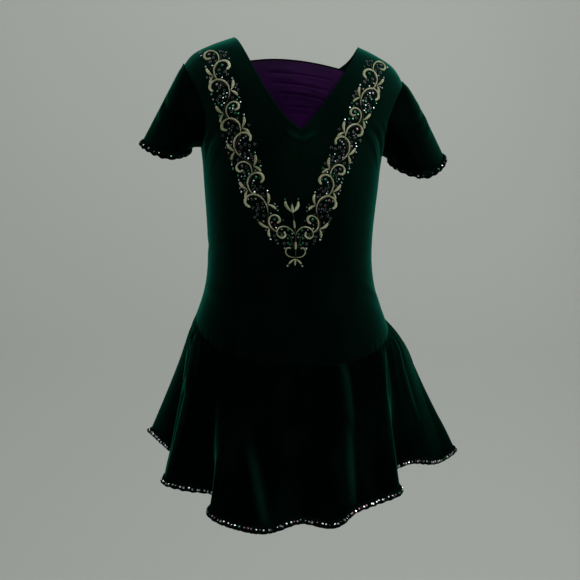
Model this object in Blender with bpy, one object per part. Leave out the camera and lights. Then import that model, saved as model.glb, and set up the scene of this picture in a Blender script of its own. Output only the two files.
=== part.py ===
"""A child's short-sleeved dance dress in stretch velvet, hollow as it is worn.

Frame: +Z up, the front faces -Y, +X is the wearer's left. The origin lies on the shoulder line and on
the body's axis, between the two neck points, where the wearer's shoulders carry the dress. Lengths are
in metres.

Every panel is cut from one general child's figure, the form: an angle of 0 degrees on it is the centre
front, 90 the wearer's left side, 180 the centre back and -90 the wearer's right side. Levels count down
the form's side from its top.
"""

import math

import bmesh
import bpy
import numpy as np

MM = 0.001

# Cloth thicknesses, the gap kept at every seam, and the rolled bindings' round section
VELVET = 1.5 * MM
INSET_CLOTH = 1.2 * MM
GAP = 0.3 * MM
# Where one curved wall lies on another, room for the flats of their facets is added to the gap
FACET_ROOM = 0.6 * MM
CUFF_ROLL = 3.0 * MM
HEM_ROLL = 3.0 * MM
NECK_ROLL = 1.8 * MM

# The form, a row for each height: half width, depth to the front and to the back, the power of the
# section's outline (2 is an ellipse, more is squarer) and its shift sideways
FORM_COLUMNS = ("height", "half_width", "front", "back", "power", "shift")
FORM_ROWS = [
    (12.0, 46.0, 26.0, 34.0, 2.0, 0.0),
    (0.0, 75.0, 31.0, 42.0, 2.0, 0.0),
    (-12.0, 104.0, 42.0, 54.0, 2.0, 0.0),
    (-27.0, 128.0, 52.0, 64.0, 2.0, 0.0),
    (-48.0, 139.0, 63.0, 73.0, 2.0, 0.0),
    (-75.0, 137.0, 73.0, 80.0, 2.05, 0.0),
    (-105.0, 124.0, 79.0, 83.0, 2.15, 0.0),
    (-137.0, 112.0, 82.0, 83.0, 2.25, -0.5),
    (-175.0, 108.0, 83.0, 79.0, 2.25, -0.5),
    (-215.0, 104.0, 81.0, 73.0, 2.25, -1.0),
    (-255.0, 101.0, 79.0, 70.0, 2.25, -1.0),
    (-290.0, 102.0, 80.0, 75.0, 2.25, -0.5),
    (-318.0, 107.5, 84.0, 84.0, 2.2, 0.5),
    (-345.0, 118.0, 89.0, 93.0, 2.15, 1.5),
    (-375.0, 126.0, 92.0, 98.0, 2.1, 2.5),
    (-410.0, 130.0, 93.0, 99.0, 2.1, 3.0),
    (-450.0, 131.0, 92.0, 98.0, 2.1, 3.0),
]
# The wearer's left shoulder hangs lower; the slope fades out between these two heights
SHOULDER_TILT = math.radians(1.3)
TILT_FULL_ABOVE = -60 * MM
TILT_NONE_BELOW = -250 * MM

# Neckline, armholes and the basque seam where the skirt hangs. The pairs are the wearer's right side and
# left side: the dress hangs a little askew
NECK_HALF = (75 * MM, 81 * MM)
V_DEPTH = 119 * MM
V_BOW = (0.62, 0.88)
BACK_NECK_DEPTH = 36 * MM
SHOULDER_TIP = (-38 * MM, -42 * MM)
ARMPIT = -135 * MM
ARMHOLE_INSET = {"front": math.radians(29), "back": math.radians(28)}
SEAM_SIDE = -342.5 * MM
SEAM_DIP = {"front": 58 * MM, "back": 24 * MM}
BODICE_COLUMNS = 9
BODICE_LOWER_ROWS = 11
BODICE_UPPER_ROWS = 8
ROW_BEND = 2.0  # the row from the armpit rises slowly at first, so it stays below the armhole's curve

# The pleated inset behind the V: how far it runs under the velvet, its top edge, and its soft pleats
INSET_UNDERLAP = 5 * MM
INSET_TOP_COLUMNS = ("across", "height")
INSET_TOP_ROWS = [(-1.0, -38.0), (-0.5, -34.0), (0.0, -34.5), (0.5, -38.3), (1.0, -44.0)]
INSET_COLUMNS = 12
INSET_ROWS = 16
PLEAT_COLUMNS = ("height", "height_slope", "rise", "half_width")
PLEAT_ROWS = [
    (-49.5, -0.11, 2.2, 5.0),
    (-61.5, -0.13, 2.4, 5.5),
    (-74.0, -0.10, 2.2, 6.0),
    (-91.0, -0.03, 1.4, 6.0),
]

# The scrolled applique, worked flat on one side of the centre and mirrored: the line its vine sways about,
# from the tip of the V to the shoulder, then the curls that leave the stem at the tip
APPLIQUE_THICK = 1.1 * MM
APPLIQUE_STEP = 0.06 * MM
VINE_COLUMNS = ("x", "height")
VINE_ROWS = [
    (0.0, -260.0),
    (14.0, -246.0),
    (30.0, -222.0),
    (43.0, -190.0),
    (56.0, -155.0),
    (71.0, -113.0),
    (83.0, -82.0),
    (91.0, -58.0),
    (98.0, -36.0),
    (102.0, -20.0),
]
# How far the whole of it lies to one side, because the dress hangs askew
DRIFT_COLUMNS = ("height", "x")
DRIFT_ROWS = [
    (-290.0, -6.0),
    (-250.0, -5.5),
    (-200.0, -11.5),
    (-150.0, -10.5),
    (-100.0, -7.5),
    (-60.0, -4.0),
    (-25.0, -1.0),
    (0.0, 0.0),
]
VINE_BENDS = 11
VINE_SWAY = 7.0 * MM
VINE_WIDTH = 1.5 * MM
VINE_STATIONS = 42
# What grows from the vine: at each bend the next of these curls, and at each crest but the lowest both
# leaves
CURL_COLUMNS = ("length", "turn", "width")
CURL_ROWS = [(55.0, 300.0, 4.2), (46.0, 340.0, 3.6), (56.0, 270.0, 4.0)]
LEAF_COLUMNS = ("length", "lean", "turn", "width")
LEAF_ROWS = [(14.0, 50.0, 50.0, 4.6), (11.0, 118.0, -50.0, 4.0)]
STEM_COLUMNS = ("x", "height", "heading", "length", "turn", "width", "kind")
STEM_ROWS = [
    (0.0, -246.0, 76.0, 50.0, -400.0, 3.2, "curl"),
    (0.0, -271.0, -12.0, 24.0, 235.0, 2.6, "curl"),
    (0.0, -218.0, 38.0, 16.0, 62.0, 5.0, "leaf"),
    (0.0, -273.0, -30.0, 10.0, -30.0, 3.4, "leaf"),
]
STEM_BOTTOM = -280 * MM
STEM_TOP = -206 * MM
STEM_WIDTH = 3.4 * MM

# The sleeves: the cuff's outer and inner corners, how far its front edge hangs below them and its back
# edge above, its depth to the front and back, and how far out the sleeve's head springs from its seam
SLEEVE_COLUMNS = (
    "outer_x",
    "outer_z",
    "inner_x",
    "inner_z",
    "front_drop",
    "back_lift",
    "front",
    "back",
    "spring",
)
SLEEVE_ROWS = {
    "sleeve_right": (-185.0, -130.0, -127.0, -136.0, 17.0, 8.0, 44.0, 46.0, 0.38),
    "sleeve_left": (193.0, -136.0, 124.0, -143.0, 25.0, 8.0, 45.0, 46.0, 0.62),
}
# The cuff's ring is an ellipse drawn in between its corners: 1 would be plain, and 2 a diamond
CUFF_POWER = 1.35
SLEEVE_AROUND = 26
SLEEVE_ROWS_DOWN = 8

# The skirt's hem, a row for each ridge, hollow and turn of its folds: the angle where that thread of the
# cloth leaves the seam, and the angle, radius and height where it meets the hem
HEM_COLUMNS = ("seam_angle", "hem_angle", "radius", "height")
HEM_ROWS = [
    (-180.0, -180.0, 178.0, -545.0),
    (-162.0, -161.0, 140.0, -551.0),
    (-142.0, -143.0, 186.0, -535.0),
    (-125.0, -127.0, 142.0, -541.0),
    (-108.0, -117.0, 187.0, -492.0),
    (-98.0, -102.0, 157.0, -500.0),
    (-88.0, -87.0, 130.0, -519.0),
    (-73.0, -72.0, 163.0, -535.0),
    (-58.0, -59.0, 156.0, -541.0),
    (-46.5, -46.5, 129.0, -548.0),
    (-38.0, -41.0, 161.0, -562.0),
    (-22.0, -19.0, 173.0, -577.0),
    (-4.0, -2.0, 153.0, -568.0),
    (13.0, 12.0, 165.0, -571.0),
    (23.0, 22.0, 153.0, -559.0),
    (33.0, 33.0, 151.0, -553.0),
    (47.0, 50.0, 158.0, -541.0),
    (57.0, 60.0, 128.0, -530.0),
    (71.0, 74.0, 151.0, -516.0),
    (86.0, 88.0, 190.0, -520.0),
    (99.0, 98.0, 223.0, -509.0),
    (112.0, 108.0, 188.0, -520.0),
    (125.0, 122.0, 142.0, -543.0),
    (142.0, 141.0, 184.0, -536.0),
    (161.0, 160.0, 138.0, -551.0),
]
# The plain cone that the folds depart from, how soon they depart, and the gathers sewn in at the sides
CONE_FLARE = 52 * MM
FOLD_POWER = 1.5
# Where many gathers stand the cloth off below the seam: the angle, how far, over what half width
PUFF_COLUMNS = ("angle", "stand_off", "half_width")
PUFF_ROWS = [(-92.0, 3.0, 26.0), (97.0, 22.0, 44.0)]
GATHER_COLUMNS = ("angle", "rise", "half_width", "reach")
GATHER_ROWS = [
    (-101.0, 2.0, 2.6, 0.22),
    (-92.0, 2.6, 2.8, 0.30),
    (-83.0, 2.2, 2.6, 0.24),
    (-74.0, 1.6, 2.4, 0.16),
    (70.0, 1.6, 2.4, 0.16),
    (78.0, 2.4, 2.6, 0.26),
    (87.0, 2.8, 2.8, 0.30),
    (96.0, 2.2, 2.6, 0.24),
    (105.0, 1.6, 2.4, 0.16),
]
SKIRT_COLUMNS_PER_HALF = 48
SKIRT_ROWS = 8


def table(columns, rows):
    return {name: np.array([row[i] for row in rows], float) for i, name in enumerate(columns)}


def cubic(xs, ys, slopes, x):
    """The smooth curve through the points (xs, ys) with these slopes."""
    k = min(max(int(np.searchsorted(xs, x)) - 1, 0), len(xs) - 2)
    step = xs[k + 1] - xs[k]
    s = (x - xs[k]) / step
    return (
        (1 + 2 * s) * (1 - s) ** 2 * ys[k]
        + s * (1 - s) ** 2 * step * slopes[k]
        + s * s * (3 - 2 * s) * ys[k + 1]
        + s * s * (s - 1) * step * slopes[k + 1]
    )


def ease(low, high, x):
    """0 below low, 1 above high, and a smooth step between."""
    s = min(1.0, max(0.0, (x - low) / (high - low)))
    return s * s * (3 - 2 * s)


def bump(distance, half_width):
    """1 at a distance of 0, falling smoothly to 0 at the half width."""
    return 1.0 - ease(0.0, half_width, abs(distance))


def mix(a, b, s):
    return a + (b - a) * s


def unit(vector):
    return vector / np.linalg.norm(vector)


# --- the form ------------------------------------------------------------------------------------

FORM = table(FORM_COLUMNS, FORM_ROWS)
for column in ("height", "half_width", "front", "back", "shift"):
    FORM[column] *= MM
LEVELS = np.concatenate([[0.0], np.cumsum(np.hypot(np.diff(FORM["half_width"]), np.diff(FORM["height"])))])
FORM_SLOPES = {column: np.gradient(FORM[column], LEVELS) for column in FORM_COLUMNS}
FINE_LEVELS = np.linspace(0.0, LEVELS[-1], 600)


def form_value(column, level):
    return cubic(LEVELS, FORM[column], FORM_SLOPES[column], level)


FINE_HEIGHTS = np.array([form_value("height", level) for level in FINE_LEVELS])
FINE_HALVES = np.array([form_value("half_width", level) for level in FINE_LEVELS])


def level_at(height):
    return float(np.interp(-height, -FINE_HEIGHTS, FINE_LEVELS))


def form_point(angle, level):
    """The point of the form at an angle round it, at a level."""
    height, half, front, back, power, shift = (form_value(column, level) for column in FORM_COLUMNS)
    sine, cosine = math.sin(angle), math.cos(angle)
    depth = front if cosine > 0 else back
    x = half * math.copysign(abs(sine) ** (2 / power), sine)
    y = -depth * math.copysign(abs(cosine) ** (2 / power), cosine)
    height -= x * math.tan(SHOULDER_TILT) * ease(TILT_NONE_BELOW, TILT_FULL_ABOVE, height)
    return np.array([x + shift, y, height])


def form_normal(angle, level):
    around = form_point(angle + 1e-3, level) - form_point(angle - 1e-3, level)
    up = form_point(angle, level - 0.5 * MM) - form_point(angle, level + 0.5 * MM)
    return unit(np.cross(around, up))


def off_form(angle, level, lift):
    """The point that lies lift outside the form."""
    return form_point(angle, level) + lift * form_normal(angle, level)


def angle_at(x, level, behind=False):
    """The angle at which the form's section at this level is x across, in front or behind."""
    ratio = min(1.0, abs(x) / form_value("half_width", level))
    angle = math.asin(ratio ** (form_value("power", level) / 2))
    return math.copysign(math.pi - angle if behind else angle, x)


def seam_level(angle):
    """The level of the basque seam, which dips towards the centre front and back."""
    cosine = math.cos(angle)
    dip = SEAM_DIP["front"] if cosine > 0 else SEAM_DIP["back"]
    return level_at(SEAM_SIDE - dip * abs(cosine))


# --- walls ---------------------------------------------------------------------------------------


def material(name, colour, roughness, metallic=0.0):
    made = bpy.data.materials.new(name)
    made.use_nodes = True
    shader = made.node_tree.nodes["Principled BSDF"]
    shader.inputs["Base Color"].default_value = (*colour, 1.0)
    shader.inputs["Roughness"].default_value = roughness
    shader.inputs["Metallic"].default_value = metallic
    made.diffuse_color = (*colour, 1.0)
    return made


def new_object(name, points, faces, finish):
    mesh = bpy.data.meshes.new(name)
    mesh.from_pydata([tuple(p) for p in points], [], faces)
    mesh.materials.append(finish)
    mesh.shade_smooth()
    mesh.set_sharp_from_angle(angle=math.radians(50))
    made = bpy.data.objects.new(name, mesh)
    bpy.context.scene.collection.objects.link(made)
    return made


def wall_object(name, patches, finish):
    """One closed wall from patches, each a pair of grids (outer, inner) of rows by columns of points.

    Rows run up and columns run anticlockwise seen from above. Points that two patches share are welded.
    """
    index, outside, inside, faces = {}, [], [], []
    for outer, inner in patches:
        ids = np.empty(outer.shape[:2], int)
        for place in np.ndindex(ids.shape):
            key = tuple(np.round(outer[place] / (0.01 * MM)).astype(int))
            if key not in index:
                index[key] = len(outside)
                outside.append(outer[place])
                inside.append(inner[place])
            ids[place] = index[key]
        for i in range(ids.shape[0] - 1):
            for j in range(ids.shape[1] - 1):
                corners = [ids[i, j], ids[i, j + 1], ids[i + 1, j + 1], ids[i + 1, j]]
                corners = [c for n, c in enumerate(corners) if c != corners[n - 1]]
                faces.append([int(c) for c in corners])
    edges = {(face[n - 1], face[n]) for face in faces for n in range(len(face))}
    rim = [(a, b) for a, b in edges if (b, a) not in edges]
    count = len(outside)
    walls = [list(face) for face in faces]
    walls += [[c + count for c in reversed(face)] for face in faces]
    walls += [[b, a, a + count, b + count] for a, b in sorted(rim)]
    return new_object(name, outside + inside, walls, finish)


def roll_object(name, centres, downs, radius, finish, closed, sides=6):
    """A rolled binding: a round section of this radius along the centres, squared up by the downs."""
    count = len(centres)
    points, faces = [], []
    for i in range(count):
        after, before = (i + 1, i - 1) if closed else (min(i + 1, count - 1), max(i - 1, 0))
        along = unit(centres[after % count] - centres[before])
        across = unit(np.cross(along, downs[i]))
        down = np.cross(across, along)
        for k in range(sides):
            turn = 2 * math.pi * k / sides
            points.append(centres[i] + radius * (math.cos(turn) * across + math.sin(turn) * down))
    for i in range(count if closed else count - 1):
        here, there = i * sides, (i + 1) % count * sides
        for k in range(sides):
            beside = (k + 1) % sides
            faces.append([here + k, there + k, there + beside, here + beside])
    if not closed:
        faces.append(list(range(sides)))
        faces.append([(count - 1) * sides + k for k in reversed(range(sides))])
    return new_object(name, points, faces, finish)


def even_steps(curve, count):
    """Parameters from 0 to 1 that cut curve(s) into count equal lengths."""
    fine = np.linspace(0.0, 1.0, 121)
    points = np.array([curve(s) for s in fine])
    lengths = np.concatenate([[0.0], np.cumsum(np.linalg.norm(np.diff(points, axis=0), axis=1))])
    return np.interp(np.linspace(0.0, lengths[-1], count + 1), lengths, fine)


# --- bodice --------------------------------------------------------------------------------------


def own(pair, side):
    """The value that this side has of its own: 1 is the wearer's left, -1 the wearer's right."""
    return pair[1] if side > 0 else pair[0]


def neck_point_height(side):
    """The height at which the form is just as wide as the neck opening, where its front and back meet."""
    count = int(FINE_HALVES.argmax())
    return float(np.interp(own(NECK_HALF, side), FINE_HALVES[:count], FINE_HEIGHTS[:count]))


def neckline(s, part, side):
    """(angle, level) along half of the neckline, from the centre, 0, to the neck point, 1."""
    half, top = own(NECK_HALF, side), neck_point_height(side)
    if part == "front":
        x, height = half * s ** own(V_BOW, side), mix(-V_DEPTH, top, s)
    else:
        turn = s * math.pi / 2
        x, height = half * math.sin(turn), mix(-BACK_NECK_DEPTH, top, 1 - math.cos(turn))
    level = level_at(height)
    return side * angle_at(x, level, part == "back"), level


def armhole(s, part, side):
    """(angle, level) along half of an armhole, from the armpit, 0, to the shoulder tip, 1."""
    inset = ARMHOLE_INSET[part] * math.sin(math.pi * s)
    angle = math.pi / 2 - inset if part == "front" else math.pi / 2 + inset
    rise = (1 - math.cos(math.pi * s)) / 2
    return side * angle, mix(level_at(ARMPIT), level_at(own(SHOULDER_TIP, side)), rise)


def half_panel(part, side):
    """Two grids of (angle, level), columns from the side to the centre: below the armpit, and above it."""
    centre, seam = (0.0, side * math.pi / 2) if part == "front" else (side * math.pi, side * math.pi / 2)
    top_centre = neckline(0.0, part, side)[1]
    across = np.linspace(0.0, 1.0, BODICE_COLUMNS + 1)
    lower = []
    for rise in np.linspace(0.0, 1.0, BODICE_LOWER_ROWS + 1):
        row = []
        for share in across:
            angle = mix(seam, centre, share)
            top = mix(level_at(ARMPIT), top_centre, share**ROW_BEND)
            row.append((angle, mix(seam_level(angle), top, rise)))
        lower.append(row)
    necks = even_steps(lambda s: form_point(*neckline(s, part, side)), BODICE_UPPER_ROWS)
    holes = even_steps(lambda s: form_point(*armhole(s, part, side)), BODICE_UPPER_ROWS)
    upper = []
    for row, (hole, neck) in enumerate(zip(holes, necks)):
        edge, middle = armhole(hole, part, side), neckline(neck, part, side)
        bend = mix(ROW_BEND, 1.0, row / BODICE_UPPER_ROWS)
        upper.append(
            [(mix(edge[0], middle[0], share), mix(edge[1], middle[1], share**bend)) for share in across]
        )
    return lower, upper


def bodice_point(angle, level, lift, part):
    """A point off the form, kept half a gap clear of the side and shoulder seams at y = 0."""
    point = off_form(angle, level, lift)
    point[1] = min(point[1], -GAP / 2) if part == "front" else max(point[1], GAP / 2)
    return point


def bodice_panel(name, part, finish):
    patches = []
    for side in (1, -1):
        for grid in half_panel(part, side):
            outer, inner = (
                np.array([[bodice_point(angle, level, lift, part) for angle, level in row] for row in grid])
                for lift in (VELVET, 0.0)
            )
            if (side == 1) == (part == "front"):
                outer, inner = outer[:, ::-1], inner[:, ::-1]
            patches.append((outer, inner))
    return wall_object(name, patches, finish)


# --- neck inset ----------------------------------------------------------------------------------


def inset_reach(height, side):
    """How far the V opening reaches to one side at a height."""
    share = max(0.0, (height + V_DEPTH) / (neck_point_height(side) + V_DEPTH))
    return own(NECK_HALF, side) * share ** own(V_BOW, side)


PLEATS = table(PLEAT_COLUMNS, PLEAT_ROWS)
INSET_TOP = table(INSET_TOP_COLUMNS, INSET_TOP_ROWS)
INSET_TOP_SLOPES = np.gradient(INSET_TOP["height"], INSET_TOP["across"])


def inset_top(across):
    return MM * cubic(INSET_TOP["across"], INSET_TOP["height"], INSET_TOP_SLOPES, across)


def pleat_rise(x, height):
    """How far the inset's soft pleats stand up, dying out before the velvet's edge."""
    rise = 0.0
    for at, slope, size, half_width in zip(*(PLEATS[column] for column in PLEAT_COLUMNS)):
        rise += size * MM * bump(height - at * MM - slope * x, half_width * MM)
    return rise * bump(x, max(inset_reach(height, x) - 1 * MM, 1 * MM))


def inset_point(across, rise, lift):
    """A point of the inset, across it from -1 to 1 and up it from 0 to 1."""
    bottom = -V_DEPTH - 6 * MM
    height = mix(bottom, inset_top(across), rise)
    x = across * (inset_reach(height, across) + INSET_UNDERLAP)
    level = level_at(height)
    lift += pleat_rise(x, height) - GAP - FACET_ROOM - INSET_CLOTH
    return off_form(angle_at(x, level) if x else 0.0, level, lift)


def neck_inset(finish):
    columns, rows = np.linspace(-1.0, 1.0, INSET_COLUMNS + 1), np.linspace(0.0, 1.0, INSET_ROWS + 1)
    outer, inner = (
        np.array([[inset_point(across, rise, lift) for across in columns] for rise in rows])
        for lift in (INSET_CLOTH, 0.0)
    )
    wall_object("neck_inset", [(outer, inner)], finish)


def inset_binding(finish):
    """The narrow roll along the inset's top edge, which also runs under the velvet at its ends."""
    centres, downs = [], []
    for across in np.linspace(-0.97, 0.97, INSET_COLUMNS + 1):
        height = inset_top(across)
        x = across * (inset_reach(height, across) + INSET_UNDERLAP)
        level = level_at(height + NECK_ROLL + GAP)
        centres.append(off_form(angle_at(x, level), level, -(NECK_ROLL + GAP + FACET_ROOM)))
        downs.append(np.array([0.0, 0.0, -1.0]))
    roll_object("inset_binding", centres, downs, NECK_ROLL, finish, closed=False)


# --- applique ------------------------------------------------------------------------------------

VINE = table(VINE_COLUMNS, VINE_ROWS)
VINE_POINTS = np.stack([VINE["x"], VINE["height"]], axis=1) * MM
VINE_RUNS = np.concatenate([[0.0], np.cumsum(np.linalg.norm(np.diff(VINE_POINTS, axis=0), axis=1))])
VINE_SLOPES = np.gradient(VINE_POINTS, VINE_RUNS, axis=0)
DRIFT = table(DRIFT_COLUMNS, DRIFT_ROWS)
DRIFT_SLOPES = np.gradient(DRIFT["x"], DRIFT["height"])


def vine_point(share):
    """A point of the swaying vine, from the V's tip, 0, to the shoulder, 1, flat in x and height."""
    run = share * VINE_RUNS[-1]
    ahead = cubic(VINE_RUNS, VINE_POINTS, VINE_SLOPES, min(run + MM, VINE_RUNS[-1]))
    behind = cubic(VINE_RUNS, VINE_POINTS, VINE_SLOPES, max(run - MM, 0.0))
    along = unit(ahead - behind)
    left = np.array([-along[1], along[0]])
    sway = VINE_SWAY * math.sin(math.pi * VINE_BENDS * share) * ease(0.0, 0.08, share)
    return cubic(VINE_RUNS, VINE_POINTS, VINE_SLOPES, run) + sway * left


def curl_path(start, heading, length, turn, stations, tighten=1.7):
    """A flat path that leaves the start on a heading, in degrees, and curls up tighter towards its end."""
    points, angle = [np.array(start, float)], math.radians(heading)
    weights = 0.3 + np.linspace(0.0, 1.0, stations) ** tighten
    turns = math.radians(turn) * weights / weights.sum()
    for bend in turns:
        angle += bend / 2
        points.append(points[-1] + length / stations * np.array([math.cos(angle), math.sin(angle)]))
        angle += bend / 2
    return points


def curl_width(share, width):
    """Half the width along a curl: a thin neck, a full back and a bead at its end."""
    return width / 2 * (0.3 + 0.4 * math.sin(math.pi * share) + 0.7 * ease(0.62, 0.88, share))


def leaf_width(share, width):
    return width / 2 * (0.22 + 0.78 * math.sin(math.pi * min(1.0, 0.86 * share**1.15)))


def ribbon(path, half_widths, order, side):
    """(points, faces) of a flat closed strip, lying in x and height and standing up along -Y."""
    low = APPLIQUE_STEP / 2 * (order % 4)
    high = APPLIQUE_THICK + APPLIQUE_STEP * (order % 7)
    points, faces = [], []
    for i, here in enumerate(path):
        along = unit(path[min(i + 1, len(path) - 1)] - path[max(i - 1, 0)])
        left = np.array([-along[1], along[0]]) * half_widths[i]
        for edge, rise in ((left, low), (-left, low), (-left, high), (left, high)):
            points.append((side * (here + edge)[0], -rise, (here + edge)[1]))
    for i in range(len(path) - 1):
        for k in range(4):
            corner, beside = 4 * i + k, 4 * i + (k + 1) % 4
            faces.append([corner, beside, beside + 4, corner + 4])
    last = 4 * (len(path) - 1)
    faces += [[3, 2, 1, 0], [last, last + 1, last + 2, last + 3]]
    return points, faces


def applique_strips():
    """Every flat strip of one side, as (path, half widths)."""
    shares = np.linspace(0.0, 1.0, VINE_STATIONS)
    strips = [([vine_point(share) for share in shares], [VINE_WIDTH / 2] * VINE_STATIONS)]
    for bend in range(1, VINE_BENDS):
        bow = 1 if bend % 2 == 0 else -1
        here = bend / VINE_BENDS
        run = vine_point(here + 0.01) - vine_point(here - 0.01)
        heading = math.degrees(math.atan2(run[1], run[0]))
        length, turn, width = CURL_ROWS[bend % len(CURL_ROWS)]
        path = curl_path(vine_point(here), heading, length * MM, -bow * turn, 10)
        strips.append((path, [curl_width(share, width * MM) for share in np.linspace(0, 1, len(path))]))
        if bend == 1:
            continue
        crest = here - 0.5 / VINE_BENDS
        run = vine_point(crest + 0.01) - vine_point(crest - 0.01)
        for length, lean, turn, width in LEAF_ROWS:
            heading = math.degrees(math.atan2(run[1], run[0])) - bow * lean
            path = curl_path(vine_point(crest), heading, length * MM, bow * turn, 4, tighten=0.0)
            strips.append((path, [leaf_width(share, width * MM) for share in np.linspace(0, 1, len(path))]))
    for x, height, heading, length, turn, width, kind in STEM_ROWS:
        stations, shape = (10, curl_width) if kind == "curl" else (4, leaf_width)
        path = curl_path((x * MM, height * MM), heading, length * MM, turn, stations)
        strips.append((path, [shape(share, width * MM) for share in np.linspace(0, 1, len(path))]))
    return strips


def applique(finish):
    """The mirrored strips and the stem joined flat into one piece, then laid on the bodice front."""
    strips = [(strip, side) for strip in applique_strips() for side in (1, -1)]
    stem_path = [np.array([0.0, height]) for height in np.linspace(STEM_BOTTOM, STEM_TOP, 9)]
    stem_widths = [STEM_WIDTH * w for w in (0.15, 0.5, 0.3, 0.35, 0.3, 0.35, 0.5, 0.4, 0.12)]
    strips.append(((stem_path, stem_widths), 1))
    group = bpy.data.collections.new("applique_strips")
    pieces = []
    for order, ((path, half_widths), side) in enumerate(strips):
        piece = new_object(f"strip_{order}", *ribbon(path, half_widths, order, side), finish)
        shape = bmesh.new()
        shape.from_mesh(piece.data)
        bmesh.ops.recalc_face_normals(shape, faces=shape.faces)
        shape.to_mesh(piece.data)
        shape.free()
        pieces.append(piece)
    for piece in pieces[1:]:
        group.objects.link(piece)
    union = pieces[0].modifiers.new("join", "BOOLEAN")
    union.operation = "UNION"
    union.operand_type = "COLLECTION"
    union.collection = group
    bpy.context.view_layer.update()
    joined = bpy.data.meshes.new_from_object(pieces[0].evaluated_get(bpy.context.evaluated_depsgraph_get()))
    for piece in pieces:
        bpy.data.objects.remove(piece, do_unlink=True)
    bpy.data.collections.remove(group)
    for vertex in joined.vertices:
        rise, height = -vertex.co.y, vertex.co.z
        x = vertex.co.x + MM * cubic(DRIFT["height"], DRIFT["x"], DRIFT_SLOPES, height / MM)
        level = level_at(height)
        vertex.co = off_form(angle_at(x, level), level, VELVET + GAP + FACET_ROOM / 2 + rise)
    made = bpy.data.objects.new("applique", joined)
    bpy.context.scene.collection.objects.link(made)


# --- sleeves -------------------------------------------------------------------------------------


def armhole_loop(turn, side):
    """(angle, level) round an armhole: 0 at the shoulder tip, a quarter at the front."""
    part, s = ("front", 1 - 2 * turn) if turn <= 0.5 else ("back", 2 * turn - 1)
    return armhole(s, part, side)


def sleeve_point(name, turn, down):
    """A point of the sleeve's inner face: turn goes round it from 0 to 1, and down runs from 0 to 1."""
    outer_x, outer_z, inner_x, inner_z, drop, lift, front, back = (v * MM for v in SLEEVE_ROWS[name][:8])
    spring = SLEEVE_ROWS[name][8]
    side = math.copysign(1.0, outer_x)
    angle, level = armhole_loop(turn % 1.0, side)
    start = off_form(angle, level, VELVET + GAP + FACET_ROOM)
    cosine, sine = math.cos(2 * math.pi * turn), math.sin(2 * math.pi * turn)
    across = math.copysign(abs(cosine) ** CUFF_POWER, cosine)
    forward = math.copysign(abs(sine) ** CUFF_POWER, sine)
    end = np.array(
        [
            mix(inner_x, outer_x, 0.5 + 0.5 * across),
            -(front if sine > 0 else back) * forward,
            mix(inner_z, outer_z, 0.5 + 0.5 * across) - (drop if sine > 0 else lift) * forward,
        ]
    )
    reach = np.linalg.norm(end - start)
    outward = mix(0.72, spring, 0.5 + 0.5 * cosine)
    leaving = unit(np.array([side * outward, -0.35 * sine, -0.75 * (0.5 + 0.5 * cosine)]))
    arriving = unit(np.array([side * 0.45, 0.0, -0.9]))
    s = down
    return (
        (1 + 2 * s) * (1 - s) ** 2 * start
        + s * (1 - s) ** 2 * 0.75 * reach * leaving
        + s * s * (3 - 2 * s) * end
        + s * s * (s - 1) * 0.75 * reach * arriving
    )


def sleeve_normal(name, turn, down):
    around = sleeve_point(name, turn + 1e-3, down) - sleeve_point(name, turn - 1e-3, down)
    low, high = min(down + 1e-3, 1.0), max(down - 1e-3, 0.0)
    along = sleeve_point(name, turn, low) - sleeve_point(name, turn, high)
    side = math.copysign(1.0, SLEEVE_ROWS[name][0])
    normal = side * unit(np.cross(around, along))
    if down == 0.0:
        # At the armhole the sleeve's edge lies along the bodice and never dips into it
        bodice = form_normal(*armhole_loop(turn % 1.0, side))
        normal = unit(normal - min(0.0, float(normal @ bodice)) * bodice)
    return normal


def sleeve(name, finish):
    side = math.copysign(1.0, SLEEVE_ROWS[name][0])
    turns = np.linspace(0.0, 1.0, SLEEVE_AROUND + 1)
    downs = np.linspace(1.0, 0.0, SLEEVE_ROWS_DOWN + 1)
    inner = np.array([[sleeve_point(name, turn, down) for turn in turns] for down in downs])
    normals = np.array([[sleeve_normal(name, turn, down) for turn in turns] for down in downs])
    inner[:, -1], normals[:, -1] = inner[:, 0], normals[:, 0]
    outer = inner + VELVET * normals
    if side < 0:
        inner, outer = inner[:, ::-1], outer[:, ::-1]
    wall_object(name, [(outer[:, ::-1], inner[:, ::-1])], finish)


def cuff_binding(name, sleeve_name, finish):
    centres, downs = [], []
    for turn in np.arange(SLEEVE_AROUND) / SLEEVE_AROUND:
        edge = sleeve_point(sleeve_name, turn, 1.0)
        down = unit(edge - sleeve_point(sleeve_name, turn, 0.97))
        middle = edge + VELVET / 2 * sleeve_normal(sleeve_name, turn, 1.0)
        centres.append(middle + (CUFF_ROLL + GAP) * down)
        downs.append(down)
    roll_object(name, centres, downs, CUFF_ROLL, finish, closed=True)


# --- skirt ---------------------------------------------------------------------------------------

HEM = table(HEM_COLUMNS, HEM_ROWS)


def wrapped(values, turn=0.0):
    """A column of the hem's table with its last rows before it and its first rows after it."""
    return np.concatenate([values[-3:] - turn, values, values[:3] + turn])


HEM_KEYS = wrapped(HEM["seam_angle"], 360.0)
HEM_X = wrapped(HEM["radius"] * np.sin(np.radians(HEM["hem_angle"]))) * MM
HEM_Y = wrapped(-HEM["radius"] * np.cos(np.radians(HEM["hem_angle"]))) * MM
HEM_Z = wrapped(HEM["height"]) * MM
HEM_POINTS = np.stack([HEM_X, HEM_Y, HEM_Z], axis=1)
HEM_SLOPES = np.gradient(HEM_POINTS, HEM_KEYS, axis=0)
PUFFS = table(PUFF_COLUMNS, PUFF_ROWS)
GATHERS = table(GATHER_COLUMNS, GATHER_ROWS)


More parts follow.
